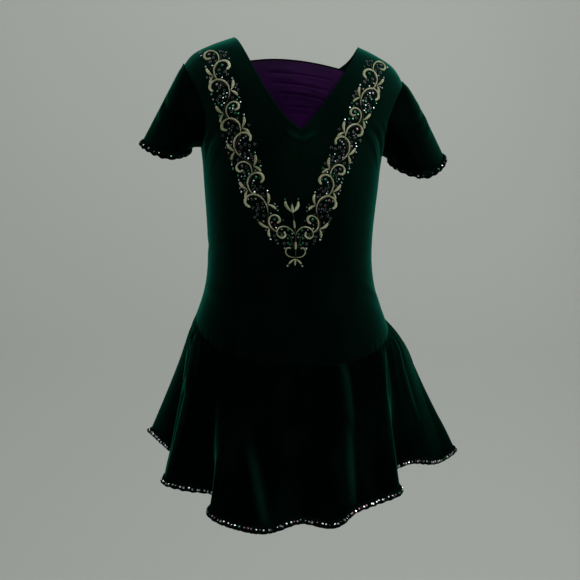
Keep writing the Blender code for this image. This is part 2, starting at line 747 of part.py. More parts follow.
def skirt_point(degrees, down):
    """A point of the skirt's inner face on the thread that leaves the seam at this angle."""
    degrees = (degrees + 180.0) % 360.0 - 180.0
    angle = math.radians(degrees)
    level = seam_level(angle)
    top = form_point(angle, level)
    away = unit(np.array([math.sin(angle), -math.cos(angle), 0.0]))
    hem = cubic(HEM_KEYS, HEM_POINTS, HEM_SLOPES, degrees)
    cone = top + CONE_FLARE * away
    cone[2] = hem[2]
    point = mix(top, cone, down) + (hem - cone) * down**FOLD_POWER
    rise = sum(
        size * MM * bump(degrees - at, half_width) * math.sin(math.pi * min(1.0, down / reach)) ** 2
        for at, size, half_width, reach in zip(*(GATHERS[column] for column in GATHER_COLUMNS))
    )
    rise += sum(
        stand_off * MM * bump(degrees - at, half_width) * (1 - down) ** 0.7 * (1 - math.exp(-11 * down))
        for at, stand_off, half_width in zip(*(PUFFS[column] for column in PUFF_COLUMNS))
    )
    point[2] -= GAP * (1 - down)
    return point + rise * away


def skirt_normal(degrees, down):
    if down == 0.0:
        angle = math.radians(degrees)
        return form_normal(angle, seam_level(angle))
    around = skirt_point(degrees + 0.05, down) - skirt_point(degrees - 0.05, down)
    low, high = min(down + 1e-3, 1.0), max(down - 1e-3, 0.0)
    return unit(np.cross(around, skirt_point(degrees, high) - skirt_point(degrees, low)))


def skirt_half(name, first, last, finish):
    seam_trim = math.degrees(GAP / 2 / FORM["half_width"].max())
    columns = np.linspace(first + seam_trim, last - seam_trim, SKIRT_COLUMNS_PER_HALF + 1)
    rows = np.linspace(1.0, 0.0, SKIRT_ROWS + 1)
    inner = np.array([[skirt_point(degrees, down) for degrees in columns] for down in rows])
    normals = np.array([[skirt_normal(degrees, down) for degrees in columns] for down in rows])
    wall_object(name, [(inner + VELVET * normals, inner)], finish)


def hem_binding(finish):
    count = 2 * SKIRT_COLUMNS_PER_HALF
    centres, downs = [], []
    for degrees in np.linspace(-90.0, 270.0, count, endpoint=False):
        edge = skirt_point(degrees, 1.0)
        down = unit(edge - skirt_point(degrees, 0.98))
        # Square to the hem, which slopes where it runs into a fold
        along = unit(skirt_point(degrees + 1.0, 1.0) - skirt_point(degrees - 1.0, 1.0))
        down = unit(down - (down @ along) * along)
        middle = edge + VELVET / 2 * skirt_normal(degrees, 1.0)
        centres.append(middle + (HEM_ROLL + FACET_ROOM + GAP / 2) * down)
        downs.append(down)
    roll_object("hem_binding", centres, downs, HEM_ROLL, finish, closed=True)


# --- build ---------------------------------------------------------------------------------------


def clear_scene():
    for old in list(bpy.data.objects):
        bpy.data.objects.remove(old, do_unlink=True)


def main():
    clear_scene()
    velvet = material("green_velvet", (0.004, 0.06, 0.035), 0.8)
    purple = material("purple_stretch", (0.05, 0.002, 0.12), 0.45)
    trim = material("dark_binding", (0.006, 0.02, 0.015), 0.6)
    gold = material("gold_thread", (0.45, 0.42, 0.2), 0.4)
    bodice_panel("bodice_front", "front", velvet)
    bodice_panel("bodice_back", "back", velvet)
    neck_inset(purple)
    inset_binding(trim)
    applique(gold)
    for name in SLEEVE_ROWS:
        sleeve(name, velvet)
        cuff_binding(name.replace("sleeve", "cuff_binding"), name, trim)
    skirt_half("skirt_front", -90.0, 90.0, velvet)
    skirt_half("skirt_back", 90.0, 270.0, velvet)
    hem_binding(trim)


main()
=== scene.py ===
import math
import random
from contextlib import contextmanager

import bmesh
import bpy
import numpy as np
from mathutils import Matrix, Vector
from mathutils.bvhtree import BVHTree
from mathutils.kdtree import KDTree


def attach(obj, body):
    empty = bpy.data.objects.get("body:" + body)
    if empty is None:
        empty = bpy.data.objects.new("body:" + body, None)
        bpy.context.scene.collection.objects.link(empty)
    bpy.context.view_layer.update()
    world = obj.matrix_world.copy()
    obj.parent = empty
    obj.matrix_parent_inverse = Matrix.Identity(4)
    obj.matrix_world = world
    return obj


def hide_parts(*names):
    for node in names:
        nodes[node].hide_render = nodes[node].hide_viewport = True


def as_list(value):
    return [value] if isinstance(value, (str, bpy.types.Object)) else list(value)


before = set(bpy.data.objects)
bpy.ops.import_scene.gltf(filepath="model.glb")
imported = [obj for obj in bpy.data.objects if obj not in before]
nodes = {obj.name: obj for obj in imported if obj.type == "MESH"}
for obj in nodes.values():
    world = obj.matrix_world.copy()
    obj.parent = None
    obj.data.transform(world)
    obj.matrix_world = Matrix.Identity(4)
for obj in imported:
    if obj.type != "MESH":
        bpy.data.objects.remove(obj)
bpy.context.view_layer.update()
mm = 0.001


# Helpers for objects, points and curves.


def deselectAll():
    for item in bpy.context.selected_objects:
        item.select_set(False)


def makeActive(item):
    deselectAll()
    item.select_set(True)
    bpy.context.view_layer.objects.active = item


def applyModifiers(item):
    makeActive(item)
    for modifier in list(item.modifiers):
        bpy.ops.object.modifier_apply(modifier=modifier.name)


def ease(low, high, value):
    share = np.clip((value - low) / (high - low), 0.0, 1.0)
    return share * share * (3 - 2 * share)


def unitRows(rows):
    return rows / np.maximum(np.linalg.norm(rows, axis=-1, keepdims=True), 1e-9)


def throughPoints(keys, values, at):
    # the smooth curve that passes through each value at its key
    keys, values = np.asarray(keys, float), np.asarray(values, float)
    slopes = np.gradient(values, keys, axis=0)
    k = np.clip(np.searchsorted(keys, at) - 1, 0, len(keys) - 2)
    step = keys[k + 1] - keys[k]
    s = (at - keys[k]) / step
    if values.ndim > 1:
        s, step = s[:, None], step[:, None]
    return (
        (1 + 2 * s) * (1 - s) ** 2 * values[k]
        + s * (1 - s) ** 2 * step * slopes[k]
        + s * s * (3 - 2 * s) * values[k + 1]
        + s * s * (s - 1) * step * slopes[k + 1]
    )


def runsAlong(points):
    return np.concatenate([[0.0], np.cumsum(np.linalg.norm(np.diff(points, axis=0), axis=1))])


def meshPoints(item):
    points = np.empty(len(item.data.vertices) * 3)
    item.data.vertices.foreach_get("co", points)
    return points.reshape(-1, 3)


def setPoints(item, points):
    item.data.vertices.foreach_set("co", points.ravel())
    item.data.update()


@contextmanager
def editedMesh(item):
    shape = bmesh.new()
    shape.from_mesh(item.data)
    yield shape
    shape.to_mesh(item.data)
    shape.free()


def placeTree(places):
    tree = KDTree(len(places))
    for number, place in enumerate(places):
        tree.insert(place, number)
    tree.balance()
    return tree


def addMesh(name, points, faces, looks, smooth=True, uvs=None):
    # uvs holds one pair for each corner of each face, in order
    mesh = bpy.data.meshes.new(name)
    mesh.from_pydata([tuple(p) for p in points], [], faces)
    for look in looks:
        mesh.materials.append(look)
    if uvs is not None:
        layer = mesh.uv_layers.new(name="along")
        layer.data.foreach_set("uv", np.asarray(uvs, float).ravel())
    if smooth:
        mesh.shade_smooth()
    mesh.update()
    made = bpy.data.objects.new(name, mesh)
    bpy.context.scene.collection.objects.link(made)
    return made


def keepPiece(item, slotName=None, replaced=()):
    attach(item, "root")
    if replaced:
        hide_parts(*replaced)
    return item


def facingArea(item):
    # the area of the cloth's right side alone, in square metres
    return sum(face.area for face in item.data.polygons if face.material_index == 0)


# Materials.


def newMaterial(name, colour, roughness, **settings):
    # settings are socket names with _ for a space, such as Sheen_Weight
    made = bpy.data.materials.new(name)
    made.use_nodes = True
    shader = made.node_tree.nodes["Principled BSDF"]
    shader.inputs["Base Color"].default_value = (*colour, 1.0)
    shader.inputs["Roughness"].default_value = roughness
    for socket, value in settings.items():
        shader.inputs[socket.replace("_", " ")].default_value = value
    return made, made.node_tree.nodes, made.node_tree.links, shader


def addNode(parts, kind, **settings):
    node = parts.new("ShaderNode" + kind)
    for socket, value in settings.items():
        node.inputs[socket].default_value = value
    return node


def objectPlace(parts):
    return addNode(parts, "TexCoord").outputs["Object"]


def addNoise(parts, links, vector, scale, detail):
    noise = addNode(parts, "TexNoise", Scale=scale, Detail=detail)
    links.new(vector, noise.inputs["Vector"])
    return noise.outputs["Fac"]


def addStretch(parts, links, vector, stretch):
    mapping = addNode(parts, "Mapping", Scale=stretch)
    links.new(vector, mapping.inputs["Vector"])
    return mapping.outputs["Vector"]


def addRamp(parts, links, factor, stops):
    ramp = addNode(parts, "ValToRGB")
    for position, colour in stops[1:-1]:
        ramp.color_ramp.elements.new(position)
    for element, (position, colour) in zip(ramp.color_ramp.elements, stops):
        element.position = position
        element.color = (*colour, 1.0)
    links.new(factor, ramp.inputs["Fac"])
    return ramp.outputs["Color"]


def addBump(parts, links, shader, height, strength, distance):
    bump = addNode(parts, "Bump", Strength=strength, Distance=distance)
    links.new(height, bump.inputs["Height"])
    links.new(bump.outputs["Normal"], shader.inputs["Normal"])


velvetLook = {
    "deep": (0.0001, 0.0007, 0.0004),
    "lit": (0.0011, 0.0056, 0.0035),
    "ridgeHighlightColour": (0.003, 0.026, 0.017),  # painted highlight along the ridge of a fold
    "patches": 20.0,
    "pile": 2400.0,
    # the bodice has its nap running up, which glows, and the rest has it running down, flattest in the
    # skirt's back; each nap's last pair of numbers shifts the base colour at each of two heights: painted
    # light high on the bodice, whose chest faces the light from above, and a darker colour lower down
    "napUp": {"tint": (0.03, 0.46, 0.31, 1.0), "spread": 0.35, "brushedAndPaintedLight": (-0.10, 0.32)},
    "napDown": {"tint": (0.014, 0.30, 0.19, 1.0), "spread": 0.29, "brushedAndPaintedLight": (-0.12, 0.0)},
    "napFlat": {"tint": (0.012, 0.20, 0.13, 1.0), "spread": 0.27, "brushedAndPaintedLight": (-0.12, 0.0)},
    # the heights, in metres, between which the painted light shifts the colour
    "paintedLightHeights": (-0.34, -0.08),
}


def makeVelvet(name, nap):
    look = velvetLook
    made, parts, links, shader = newMaterial(
        name,
        look["deep"],
        0.9,
        Sheen_Weight=1.0,
        Sheen_Roughness=look[nap]["spread"],
        Sheen_Tint=look[nap]["tint"],
        Specular_IOR_Level=0.0,
    )
    place = objectPlace(parts)
    # the pile is brushed one way or the other in patches longer than they are wide
    stretched = addStretch(parts, links, place, (1.0, 1.0, 0.45))
    brushedAndPaintedLight = addNoise(parts, links, stretched, look["patches"], 3.0)
    # painted light: the colour is lighter up the bodice towards the chest, which faces the light from above,
    # and darker lower down
    height = addNode(parts, "SeparateXYZ")
    links.new(place, height.inputs["Vector"])
    paintedLightByHeight = addNode(parts, "MapRange")
    paintedLightByHeight.inputs["From Min"].default_value, paintedLightByHeight.inputs["From Max"].default_value = look["paintedLightHeights"]
    paintedLightByHeight.inputs["To Min"].default_value, paintedLightByHeight.inputs["To Max"].default_value = look[nap]["brushedAndPaintedLight"]
    links.new(height.outputs["Z"], paintedLightByHeight.inputs["Value"])
    both = addNode(parts, "Math")
    links.new(brushedAndPaintedLight, both.inputs[0])
    links.new(paintedLightByHeight.outputs["Result"], both.inputs[1])
    colour = addRamp(parts, links, both.outputs["Value"], [(0.35, look["deep"]), (0.95, look["lit"])])
    # a painted highlight along the ridges of the folds, broken up by the nap's patches
    ridgeHighlight = addNode(parts, "Attribute")
    ridgeHighlight.attribute_name = "ridgeHighlight"
    patchyHighlight = addNode(parts, "Math")
    patchyHighlight.operation = "MULTIPLY"
    links.new(ridgeHighlight.outputs["Fac"], patchyHighlight.inputs[0])
    links.new(brushedAndPaintedLight, patchyHighlight.inputs[1])
    paintedHighlight = addNode(parts, "Mix")
    paintedHighlight.data_type = "RGBA"
    paintedHighlight.inputs["B"].default_value = (*look["ridgeHighlightColour"], 1.0)
    links.new(patchyHighlight.outputs["Value"], paintedHighlight.inputs["Factor"])
    links.new(colour, paintedHighlight.inputs["A"])
    links.new(paintedHighlight.outputs["Result"], shader.inputs["Base Color"])
    pile = addNoise(parts, links, place, look["pile"], 2.0)
    addBump(parts, links, shader, pile, 0.22, 0.0002)
    return made


def makeVelvetBack():
    made, parts, links, shader = newMaterial(
        "velvetWrongSide", (0.004, 0.014, 0.011), 0.9, Specular_IOR_Level=0.0
    )
    place = objectPlace(parts)
    knit = addNode(parts, "TexWave", Scale=260.0, Distortion=1.5)
    links.new(place, knit.inputs["Vector"])
    tone = addNoise(parts, links, place, 45.0, 2.0)
    colour = addRamp(parts, links, tone, [(0.3, (0.003, 0.010, 0.008)), (0.75, (0.006, 0.019, 0.015))])
    links.new(colour, shader.inputs["Base Color"])
    addBump(parts, links, shader, knit.outputs["Fac"], 0.3, 0.0002)
    return made


def makePurple():
    made, parts, links, shader = newMaterial(
        "purpleStretch",
        (0.011, 0.0003, 0.020),
        0.5,
        Sheen_Weight=0.03,
        Sheen_Roughness=0.4,
        Sheen_Tint=(0.6, 0.1, 0.9, 1.0),
        Specular_IOR_Level=0.03,
    )
    place = objectPlace(parts)
    tone = addNoise(parts, links, place, 30.0, 3.0)
    colour = addRamp(parts, links, tone, [(0.3, (0.008, 0.0002, 0.016)), (0.75, (0.018, 0.0005, 0.031))])
    links.new(colour, shader.inputs["Base Color"])
    knit = addNoise(parts, links, addStretch(parts, links, place, (1.0, 1.0, 0.6)), 1800.0, 2.0)
    addBump(parts, links, shader, knit, 0.2, 0.0002)
    return made


def makeBinding():
    made, parts, links, shader = newMaterial(
        "darkBinding",
        (0.0008, 0.0025, 0.002),
        0.62,
        Sheen_Weight=0.05,
        Sheen_Roughness=0.35,
        Sheen_Tint=(0.1, 0.5, 0.38, 1.0),
        Specular_IOR_Level=0.0,
    )
    place = objectPlace(parts)
    tone = addNoise(parts, links, place, 160.0, 3.0)
    colour = addRamp(parts, links, tone, [(0.3, (0.0004, 0.0012, 0.001)), (0.7, (0.0015, 0.004, 0.003))])
    links.new(colour, shader.inputs["Base Color"])
    addBump(parts, links, shader, tone, 0.4, 0.0005)
    return made


def makeThread(name, shade, light, sheenTint, sheenWeight, gloss):
    # satin stitches lie side by side across the scroll, with painted shade between them; the map runs along
    # it in millimetres
    made, parts, links, shader = newMaterial(
        name,
        light,
        0.42,
        Sheen_Weight=sheenWeight,
        Sheen_Roughness=0.3,
        Sheen_Tint=(*sheenTint, 1.0),
        Specular_IOR_Level=gloss,
    )
    along = addNode(parts, "TexCoord").outputs["UV"]
    stitch = addNode(parts, "TexWave", Scale=0.70, Distortion=0.8)
    links.new(along, stitch.inputs["Vector"])
    # some scrolls are stitched in a duller reel than the others
    reel = addNoise(parts, links, objectPlace(parts), 75.0, 1.0)
    dull = tuple(share * value for share, value in zip((0.45, 0.47, 0.36), light))
    colour = addRamp(parts, links, reel, [(0.42, dull), (0.66, light)])
    # painted shade between the stitches, in the shade colour, under the stitches' lighter colour
    stitchesOverPaintedShade = addNode(parts, "Mix")
    stitchesOverPaintedShade.data_type = "RGBA"
    stitchesOverPaintedShade.inputs["A"].default_value = (*shade, 1.0)
    links.new(stitch.outputs["Fac"], stitchesOverPaintedShade.inputs["Factor"])
    links.new(colour, stitchesOverPaintedShade.inputs["B"])
    links.new(stitchesOverPaintedShade.outputs["Result"], shader.inputs["Base Color"])
    addBump(parts, links, shader, stitch.outputs["Fac"], 0.5, 0.0003)
    return made


def makeStone(name, colour, metallic, roughness=0.08):
    made, parts, links, shader = newMaterial(
        name, colour, roughness, Metallic=metallic, Coat_Weight=1.0, Coat_Roughness=0.03
    )
    place = objectPlace(parts)
    tone = addNoise(parts, links, place, 420.0, 1.0)  # each stone has its own depth of colour
    dark = tuple(0.6 * value for value in colour)
    links.new(addRamp(parts, links, tone, [(0.35, dark), (0.65, colour)]), shader.inputs["Base Color"])
    return made


velvet = makeVelvet("bottleGreenVelvet", "napUp")
velvetDown = makeVelvet("bottleGreenVelvetDown", "napDown")
velvetFlat = makeVelvet("bottleGreenVelvetFlat", "napFlat")
velvetBack = makeVelvetBack()
purple = makePurple()
darkBinding = makeBinding()
goldThread = makeThread("paleGoldThread", (0.20, 0.21, 0.11), (0.78, 0.80, 0.54), (1.0, 1.0, 0.8), 0.2, 0.5)
vineThread = makeThread(
    "dullGoldCord", (0.006, 0.008, 0.004), (0.026, 0.031, 0.016), (0.5, 0.7, 0.4), 0.02, 0.15
)
stoneLooks = {
    "clear": makeStone("clearStone", (0.86, 0.90, 0.92), 0.85),
    "emerald": makeStone("emeraldStone", (0.005, 0.17, 0.065), 0.6),
    "garnet": makeStone("garnetStone", (0.13, 0.008, 0.04), 0.6),
    "smoke": makeStone("smokeStone", (0.06, 0.05, 0.07), 0.6),
    "ring": makeStone("darkSequin", (0.055, 0.043, 0.055), 0.75, 0.2),
}
print("materials made")


# Cloth pieces: merged and smoothed copies of their solids, right side, wrong side and edge told apart.


def sortSides(shape, sharp):
    # faces that meet at less than the sharp angle are one side of the cloth
    group, count = {}, 0
    for start in shape.faces:
        if start.index in group:
            continue
        group[start.index] = count
        waiting = [start]
        while waiting:
            face = waiting.pop()
            for edge in face.edges:
                if edge.calc_face_angle(0.0) > sharp:
                    continue
                for beside in edge.link_faces:
                    if beside.index not in group:
                        group[beside.index] = count
                        waiting.append(beside)
        count += 1
    return group, count


def clothFromSolid(name, nodeName, looks, middle, levels, sharp=math.radians(40)):
    # looks are those of the right side, the wrong side and the cut edge; middle(place) is the point
    # inside the garment that the right side faces away from
    made = nodes[nodeName].copy()
    made.data = nodes[nodeName].data.copy()
    made.name = made.data.name = name
    for key in list(made.keys()):
        del made[key]
    made.parent = None
    bpy.context.scene.collection.objects.link(made)
    made.data.materials.clear()
    for look in looks:
        made.data.materials.append(look)
    shape = bmesh.new()
    shape.from_mesh(made.data)
    bmesh.ops.remove_doubles(shape, verts=shape.verts, dist=0.01 * mm)
    bmesh.ops.join_triangles(
        shape, faces=shape.faces, angle_face_threshold=math.radians(40), angle_shape_threshold=math.pi
    )
    shape.faces.ensure_lookup_table()
    shape.faces.index_update()
    shape.normal_update()
    group, count = sortSides(shape, sharp)
    outward, areas = np.zeros(count), np.zeros(count)
    for face in shape.faces:
        away = face.calc_center_median() - middle(face.calc_center_median())
        outward[group[face.index]] += face.normal.dot(away.normalized()) * face.calc_area()
        areas[group[face.index]] += face.calc_area()
    crease = shape.edges.layers.float.new("crease_edge")
    for edge in shape.edges:
        if edge.calc_face_angle(0.0) > sharp:
            edge[crease] = 1.0
    for face in shape.faces:
        side = group[face.index]
        large = areas[side] > 0.2 * areas.max()
        face.material_index = (0 if outward[side] > 0 else 1) if large else 2
        face.smooth = True
    shape.to_mesh(made.data)
    shape.free()
    smoother = made.modifiers.new("smooth", "SUBSURF")
    smoother.levels = smoother.render_levels = levels
    applyModifiers(made)
    calmFolds(made)
    return made


tinyFace = 1e-8  # square metres


def calmFolds(item, limit=math.radians(24), rings=3, rounds=14):
    # where a curved edge cuts off the corner of a facet, smoothing leaves tiny folds, which relax here
    with editedMesh(item) as shape:
        shape.normal_update()
        held = {vertex for face in shape.faces if face.material_index == 2 for vertex in face.verts}
        rough = set()
        for edge in shape.edges:
            if edge.calc_face_angle(0.0) > limit and not all(vertex in held for vertex in edge.verts):
                rough.update(edge.verts)
        for face in shape.faces:
            if face.calc_area() < tinyFace:
                rough.update(face.verts)
        for ring in range(rings):
            rough |= {edge.other_vert(vertex) for vertex in rough for edge in vertex.link_edges}
        moving = [vertex for vertex in shape.verts if vertex in rough and vertex not in held]
        for turn in range(rounds):
            bmesh.ops.smooth_vert(
                shape, verts=moving, factor=0.5, use_axis_x=True, use_axis_y=True, use_axis_z=True
            )
        print(item.name, "relaxed", len(moving), "of", len(shape.verts))


def facePoints(item, index):
    # the numbers of the points that the faces of one material use
    return sorted({v for face in item.data.polygons if face.material_index == index for v in face.vertices})


axisTop = -60 * mm  # the body's middle ends below the shoulders


def onAxis(place):
    return Vector((0.0, 0.0, min(place.z, axisTop)))


# Creases and seams. A crease runs from a place to a place, each in degrees round (0 is the front, 90 the
# wearer's left) and millimetres of height. Then come its width, its rise, below 0 for a trough, and its bow.

# a rise above 0.9 mm also paints a highlight along the crease's ridge
bodyCreases = {
    "neckLip": [(-13, -121, 1, -132, 2.4, 2.3, -1), (-1, -132, 13, -120, 2.4, 2.3, -1)],
    "shoulders": [
        (-71, -20, -60, -35, 4.0, -0.9, 2),
        (-75, -32, -61, -50, 4.5, -1.0, 2),
        (70, -28, 58, -44, 4.0, -0.8, -2),
        (118, -24, 132, -44, 5.0, -0.9, 2),
        (-122, -22, -136, -40, 5.0, -0.8, -2),
    ],
    "armpits": [
        (55, -110, 77, -150, 3.6, -1.7, 3),
        (50, -116, 70, -158, 3.6, 1.0, 3),
        (64, -100, 80, -136, 3.0, 0.9, 2),
        (-60, -116, -78, -148, 4.2, -1.2, -3),
        (-52, -122, -72, -160, 4.5, 0.7, -3),
        (112, -112, 132, -152, 5.0, -1.2, 3),
        (-112, -110, -134, -156, 5.0, -1.3, -3),
        (-106, -124, -126, -170, 5.5, 0.8, -3),
    ],
    "waist": [
        (-62, -246, -34, -258, 6.0, -0.8, 4),
        (-70, -268, -40, -278, 7.0, 0.6, 4),
        (60, -240, 36, -254, 6.0, -0.9, -4),
        (72, -262, 44, -274, 7.0, 0.7, -4),
        (88, -246, 112, -256, 6.0, -0.9, 3),
        (-86, -250, -110, -262, 6.0, -0.8, 3),
        (128, -236, 166, -250, 7.5, -1.3, 5),
        (-130, -244, -164, -254, 7.0, -1.2, 5),
        (170, -264, -166, -268, 7.5, -1.4, -4),
        (140, -282, 174, -294, 7.0, 0.9, 4),
        (-146, -286, -176, -298, 7.0, 0.8, 4),
    ],
    "hips": [
        (50, -302, 80, -322, 6.5, 0.9, 3),
        (-84, -306, -54, -326, 6.5, 0.8, 3),
        (-30, -330, 8, -344, 8.0, -0.5, 4),
        (134, -314, 164, -326, 7.0, -0.8, 3),
        (-128, -318, -158, -330, 7.0, -0.7, 3),
    ],
    "skirt": [
        (-91, -352, -81, -390, 2.8, -1.3, 1),
        (-86, -352, -78, -384, 2.6, 1.1, 1),
        (-74.5, -348, -72, -382, 2.6, -1.2, 0),
        (-66.7, -350, -67, -382, 2.6, -1.1, 0),
        (-61, -354, -63, -388, 2.8, -1.0, 0),
        (-75.5, -356, -71, -430, 4.4, 2.6, -2),
        (-69.5, -420, -67.5, -528, 5.0, 2.8, 2),
        (-79, -380, -77, -440, 4.5, -1.3, 0),
        (-55, -400, -52, -520, 6.5, -1.3, 3),
        (-39.6, -470, -38.4, -545, 4.0, -1.2, 0),
        (-28.6, -480, -15, -584, 5.6, 3.1, 3),
        (-8, -430, -5, -500, 7.0, -0.7, -3),
        (31, -372, 27, -474, 5.0, 2.5, 2),
        (27.5, -455, 21, -566, 5.4, 2.8, -2),
        (37, -400, 34, -500, 6.0, -1.3, -2),
        (62, -362, 56, -424, 4.4, 1.6, 2),
        (56.5, -412, 49, -516, 5.0, 1.8, -2),
        (69, -360, 65, -430, 5.0, -1.4, -2),
        (76, -352, 74, -405, 3.6, 1.3, 2),
        (74.5, -395, 80, -466, 4.4, 1.4, -2),
        (96, -352, 92, -400, 3.4, 1.2, 2),
        (104, -352, 106, -396, 3.2, -1.1, -2),
        (118, -356, 122, -440, 4.6, 1.5, 3),
        (122, -430, 120, -520, 5.0, 1.6, -3),
        (134, -380, 137, -480, 6.0, -1.3, 2),
        (150, -374, 152, -420, 4.4, 1.3, -2),
        (154, -430, 158, -536, 5.5, 1.5, 3),
        (172, -380, 170, -470, 5.5, -1.1, 2),
        (-178, -420, -176, -530, 6.0, 1.3, -3),
        (-164, -372, -160, -430, 4.4, 1.2, 2),
        (-156, -410, -153, -500, 6.0, -1.2, -2),
        (-142, -370, -141, -450, 4.6, 1.5, 2),
        (-141, -440, -144, -528, 5.0, 1.4, -2),
        (-124, -360, -126, -430, 5.0, -1.3, 2),
        (-108, -352, -112, -410, 4.0, 1.4, -2),
        (-100, -350, -101, -392, 3.2, -1.2, 1),
    ],
}
seamLook = {
    "sideWidth": 2.3,
    "sideDepth": 0.35,
    "sideWithin": 0.25,
    "basqueWidth": 2.6,
    "basqueDepth": 0.14,
    "basqueSide": -342.5,  # the basque seam's height at the sides, and how far it dips in front and behind
    "basqueDip": (58.0, 24.0),
    "foldsFrom": (6.0, 20.0),  # how far below the seam the skirt's folds begin, and are whole
    "puckerEvery": 5.0,  # degrees between the small gathers that the seam draws up
    "puckerRise": (0.15, 0.6),
    "puckerLength": (9.0, 24.0),
    "seed": 11,
}


def seamHeight(turn):
    # the height of the basque seam at an angle in radians
    front, back = seamLook["basqueDip"]
    cosine = np.cos(turn)
    return seamLook["basqueSide"] - np.where(cosine > 0, front, back) * np.abs(cosine)


def seamPuckers():
    dice = random.Random(seamLook["seed"])
    rows, turn = [], -180.0
    while turn < 180.0:
        height = float(seamHeight(math.radians(turn)))
        length = dice.uniform(*seamLook["puckerLength"])
        rise = dice.uniform(*seamLook["puckerRise"])
        lean = dice.uniform(-1.5, 1.5)
        rows.append((turn, height + 3, turn + lean, height - length, 1.9, rise, 0.0))
        turn += seamLook["puckerEvery"] * dice.uniform(0.55, 1.45)
    return rows


def alongCrease(here, along, bow, width):
    # how far along a bowed crease each point lies, from 0 to 1, and how many widths away from it
    share = np.clip((here * along).sum(1) / (along * along).sum(1), 0.0, 1.0)
    across = unitRows(np.stack([-along[:, 1], along[:, 0]], axis=1))
    line = share[:, None] * along + (4 * bow * mm * share * (1 - share))[:, None] * across
    return share, np.linalg.norm(here - line, axis=1) / (width * mm)


def creaseRise(turn, radius, height, rows):
    # how far each point moves out, and how strongly the painted highlight along a high ridge lies on it
    # turn is in radians, radius and height in metres
    rise, ridgeHighlight = np.zeros(len(turn)), np.zeros(len(turn))
    for startTurn, startHeight, endTurn, endHeight, width, size, bow in rows:
        first, span = math.radians(startTurn), math.radians((endTurn - startTurn + 180) % 360 - 180)
        along = np.stack([span * radius, np.full(len(turn), (endHeight - startHeight) * mm)], axis=1)
        away = (turn - first + math.pi) % (2 * math.pi) - math.pi
        here = np.stack([away * radius, height - startHeight * mm], axis=1)
        share, distance = alongCrease(here, along, bow, width)
        taper = np.sin(math.pi * (0.06 + 0.88 * share)) ** 0.7
        rise += size * mm * taper * (np.exp(-(distance**2)) - 0.3 * np.exp(-((distance - 1.8) ** 2)))
        # rises above 0.9 mm carry a painted highlight along their ridges, strongest midway along
        highlightStrength = min(max((size - 0.9) / 2, 0.0), 1.0)
        ridgeHighlight = np.maximum(ridgeHighlight, highlightStrength * np.sin(math.pi * share) * np.exp(-((1.1 * distance) ** 2)))
    return rise, ridgeHighlight


def paintRidgeHighlights(item, ridgeHighlight):
    # the painted ridge highlight is kept on the points for the velvet's colour
    item.data.attributes.new("ridgeHighlight", "FLOAT", "POINT").data.foreach_set("value", ridgeHighlight)


def pressBody(item, groups, hung=None):
    # the folds of the hung group grow from nothing at the basque seam
    points = meshPoints(item)
    turn = np.arctan2(points[:, 0], -points[:, 1])
    radius = np.hypot(points[:, 0], points[:, 1])
    rows = [row for group in groups for row in bodyCreases[group]] + seamPuckers()
    rise, ridgeHighlight = creaseRise(turn, radius, points[:, 2], rows)
    if hung:
        below = seamHeight(turn) * mm - points[:, 2]
        folds, foldHighlight = creaseRise(turn, radius, points[:, 2], bodyCreases[hung])
        rise += folds * ease(seamLook["foldsFrom"][0] * mm, seamLook["foldsFrom"][1] * mm, below)
        ridgeHighlight = np.maximum(ridgeHighlight, foldHighlight)
    paintRidgeHighlights(item, ridgeHighlight)
    fromSeam = (points[:, 2] - seamHeight(turn) * mm) / (seamLook["basqueWidth"] * mm)
    rise -= seamLook["basqueDepth"] * mm * np.exp(-(fromSeam**2))
    fromSide = points[:, 1] / (seamLook["sideWidth"] * mm)
    rise -= seamLook["sideDepth"] * mm * np.exp(-(fromSide**2))
    middle = np.zeros_like(points)
    middle[:, 2] = np.minimum(points[:, 2], axisTop)
    points += rise[:, None] * unitRows(points - middle)
    # the panels meet at the side and shoulder seams
    atSide = np.abs(points[:, 1]) < seamLook["sideWithin"] * mm
    points[atSide, 1] = 0.0
    setPoints(item, points)


clothLooks = (velvet, velvetBack, velvet)
bodice = {"levels": 3, "creases": ("neckLip", "shoulders", "armpits", "waist", "hips")}
bodiceFront = clothFromSolid("bodiceFrontVelvet", "bodice_front", clothLooks, onAxis, bodice["levels"])
bodiceBack = clothFromSolid("bodiceBackVelvet", "bodice_back", clothLooks, onAxis, bodice["levels"])
for panel in (bodiceFront, bodiceBack):
    pressBody(panel, bodice["creases"])
print("bodice done")

skirt = {
    "levels": 3,
    "creases": ("hips",),
    "rimBelow": -300,
    "rimWithin": 0.3,
    "sewnWithin": 1.0,
    "sewnFade": 4.0,
    "sewnPull": 1.12,  # a little more than the whole way, so no slit is left
    "sewnBeside": 12,
}
frontLooks, backLooks = (velvetDown, velvetBack, velvetBack), (velvetFlat, velvetBack, velvetBack)
skirtFront = clothFromSolid("skirtFrontVelvet", "skirt_front", frontLooks, onAxis, skirt["levels"])
skirtBack = clothFromSolid("skirtBackVelvet", "skirt_back", backLooks, onAxis, skirt["levels"])
for panel in (skirtFront, skirtBack):
    pressBody(panel, skirt["creases"], hung="skirt")


def treeOf(*items):
    points, faces = [], []
    for item in items:
        first = len(points)
        points += [v.co.copy() for v in item.data.vertices]
        faces += [[first + v for v in face.vertices] for face in item.data.polygons]
    return BVHTree.FromPolygons(points, faces)


def followEdge(points, edge, pulls, fade, beside):
    # each point near the edge, how far it follows, and the mean pull on the edge points beside it
    tree, pulls = placeTree(edge), np.array(pulls)
    for v, point in enumerate(points):
        share = 1 - float(ease(0.0, fade * mm, tree.find(point)[2]))
        if share > 0:
            yield v, share, pulls[[found[1] for found in tree.find_n(point, beside)]].mean(axis=0)


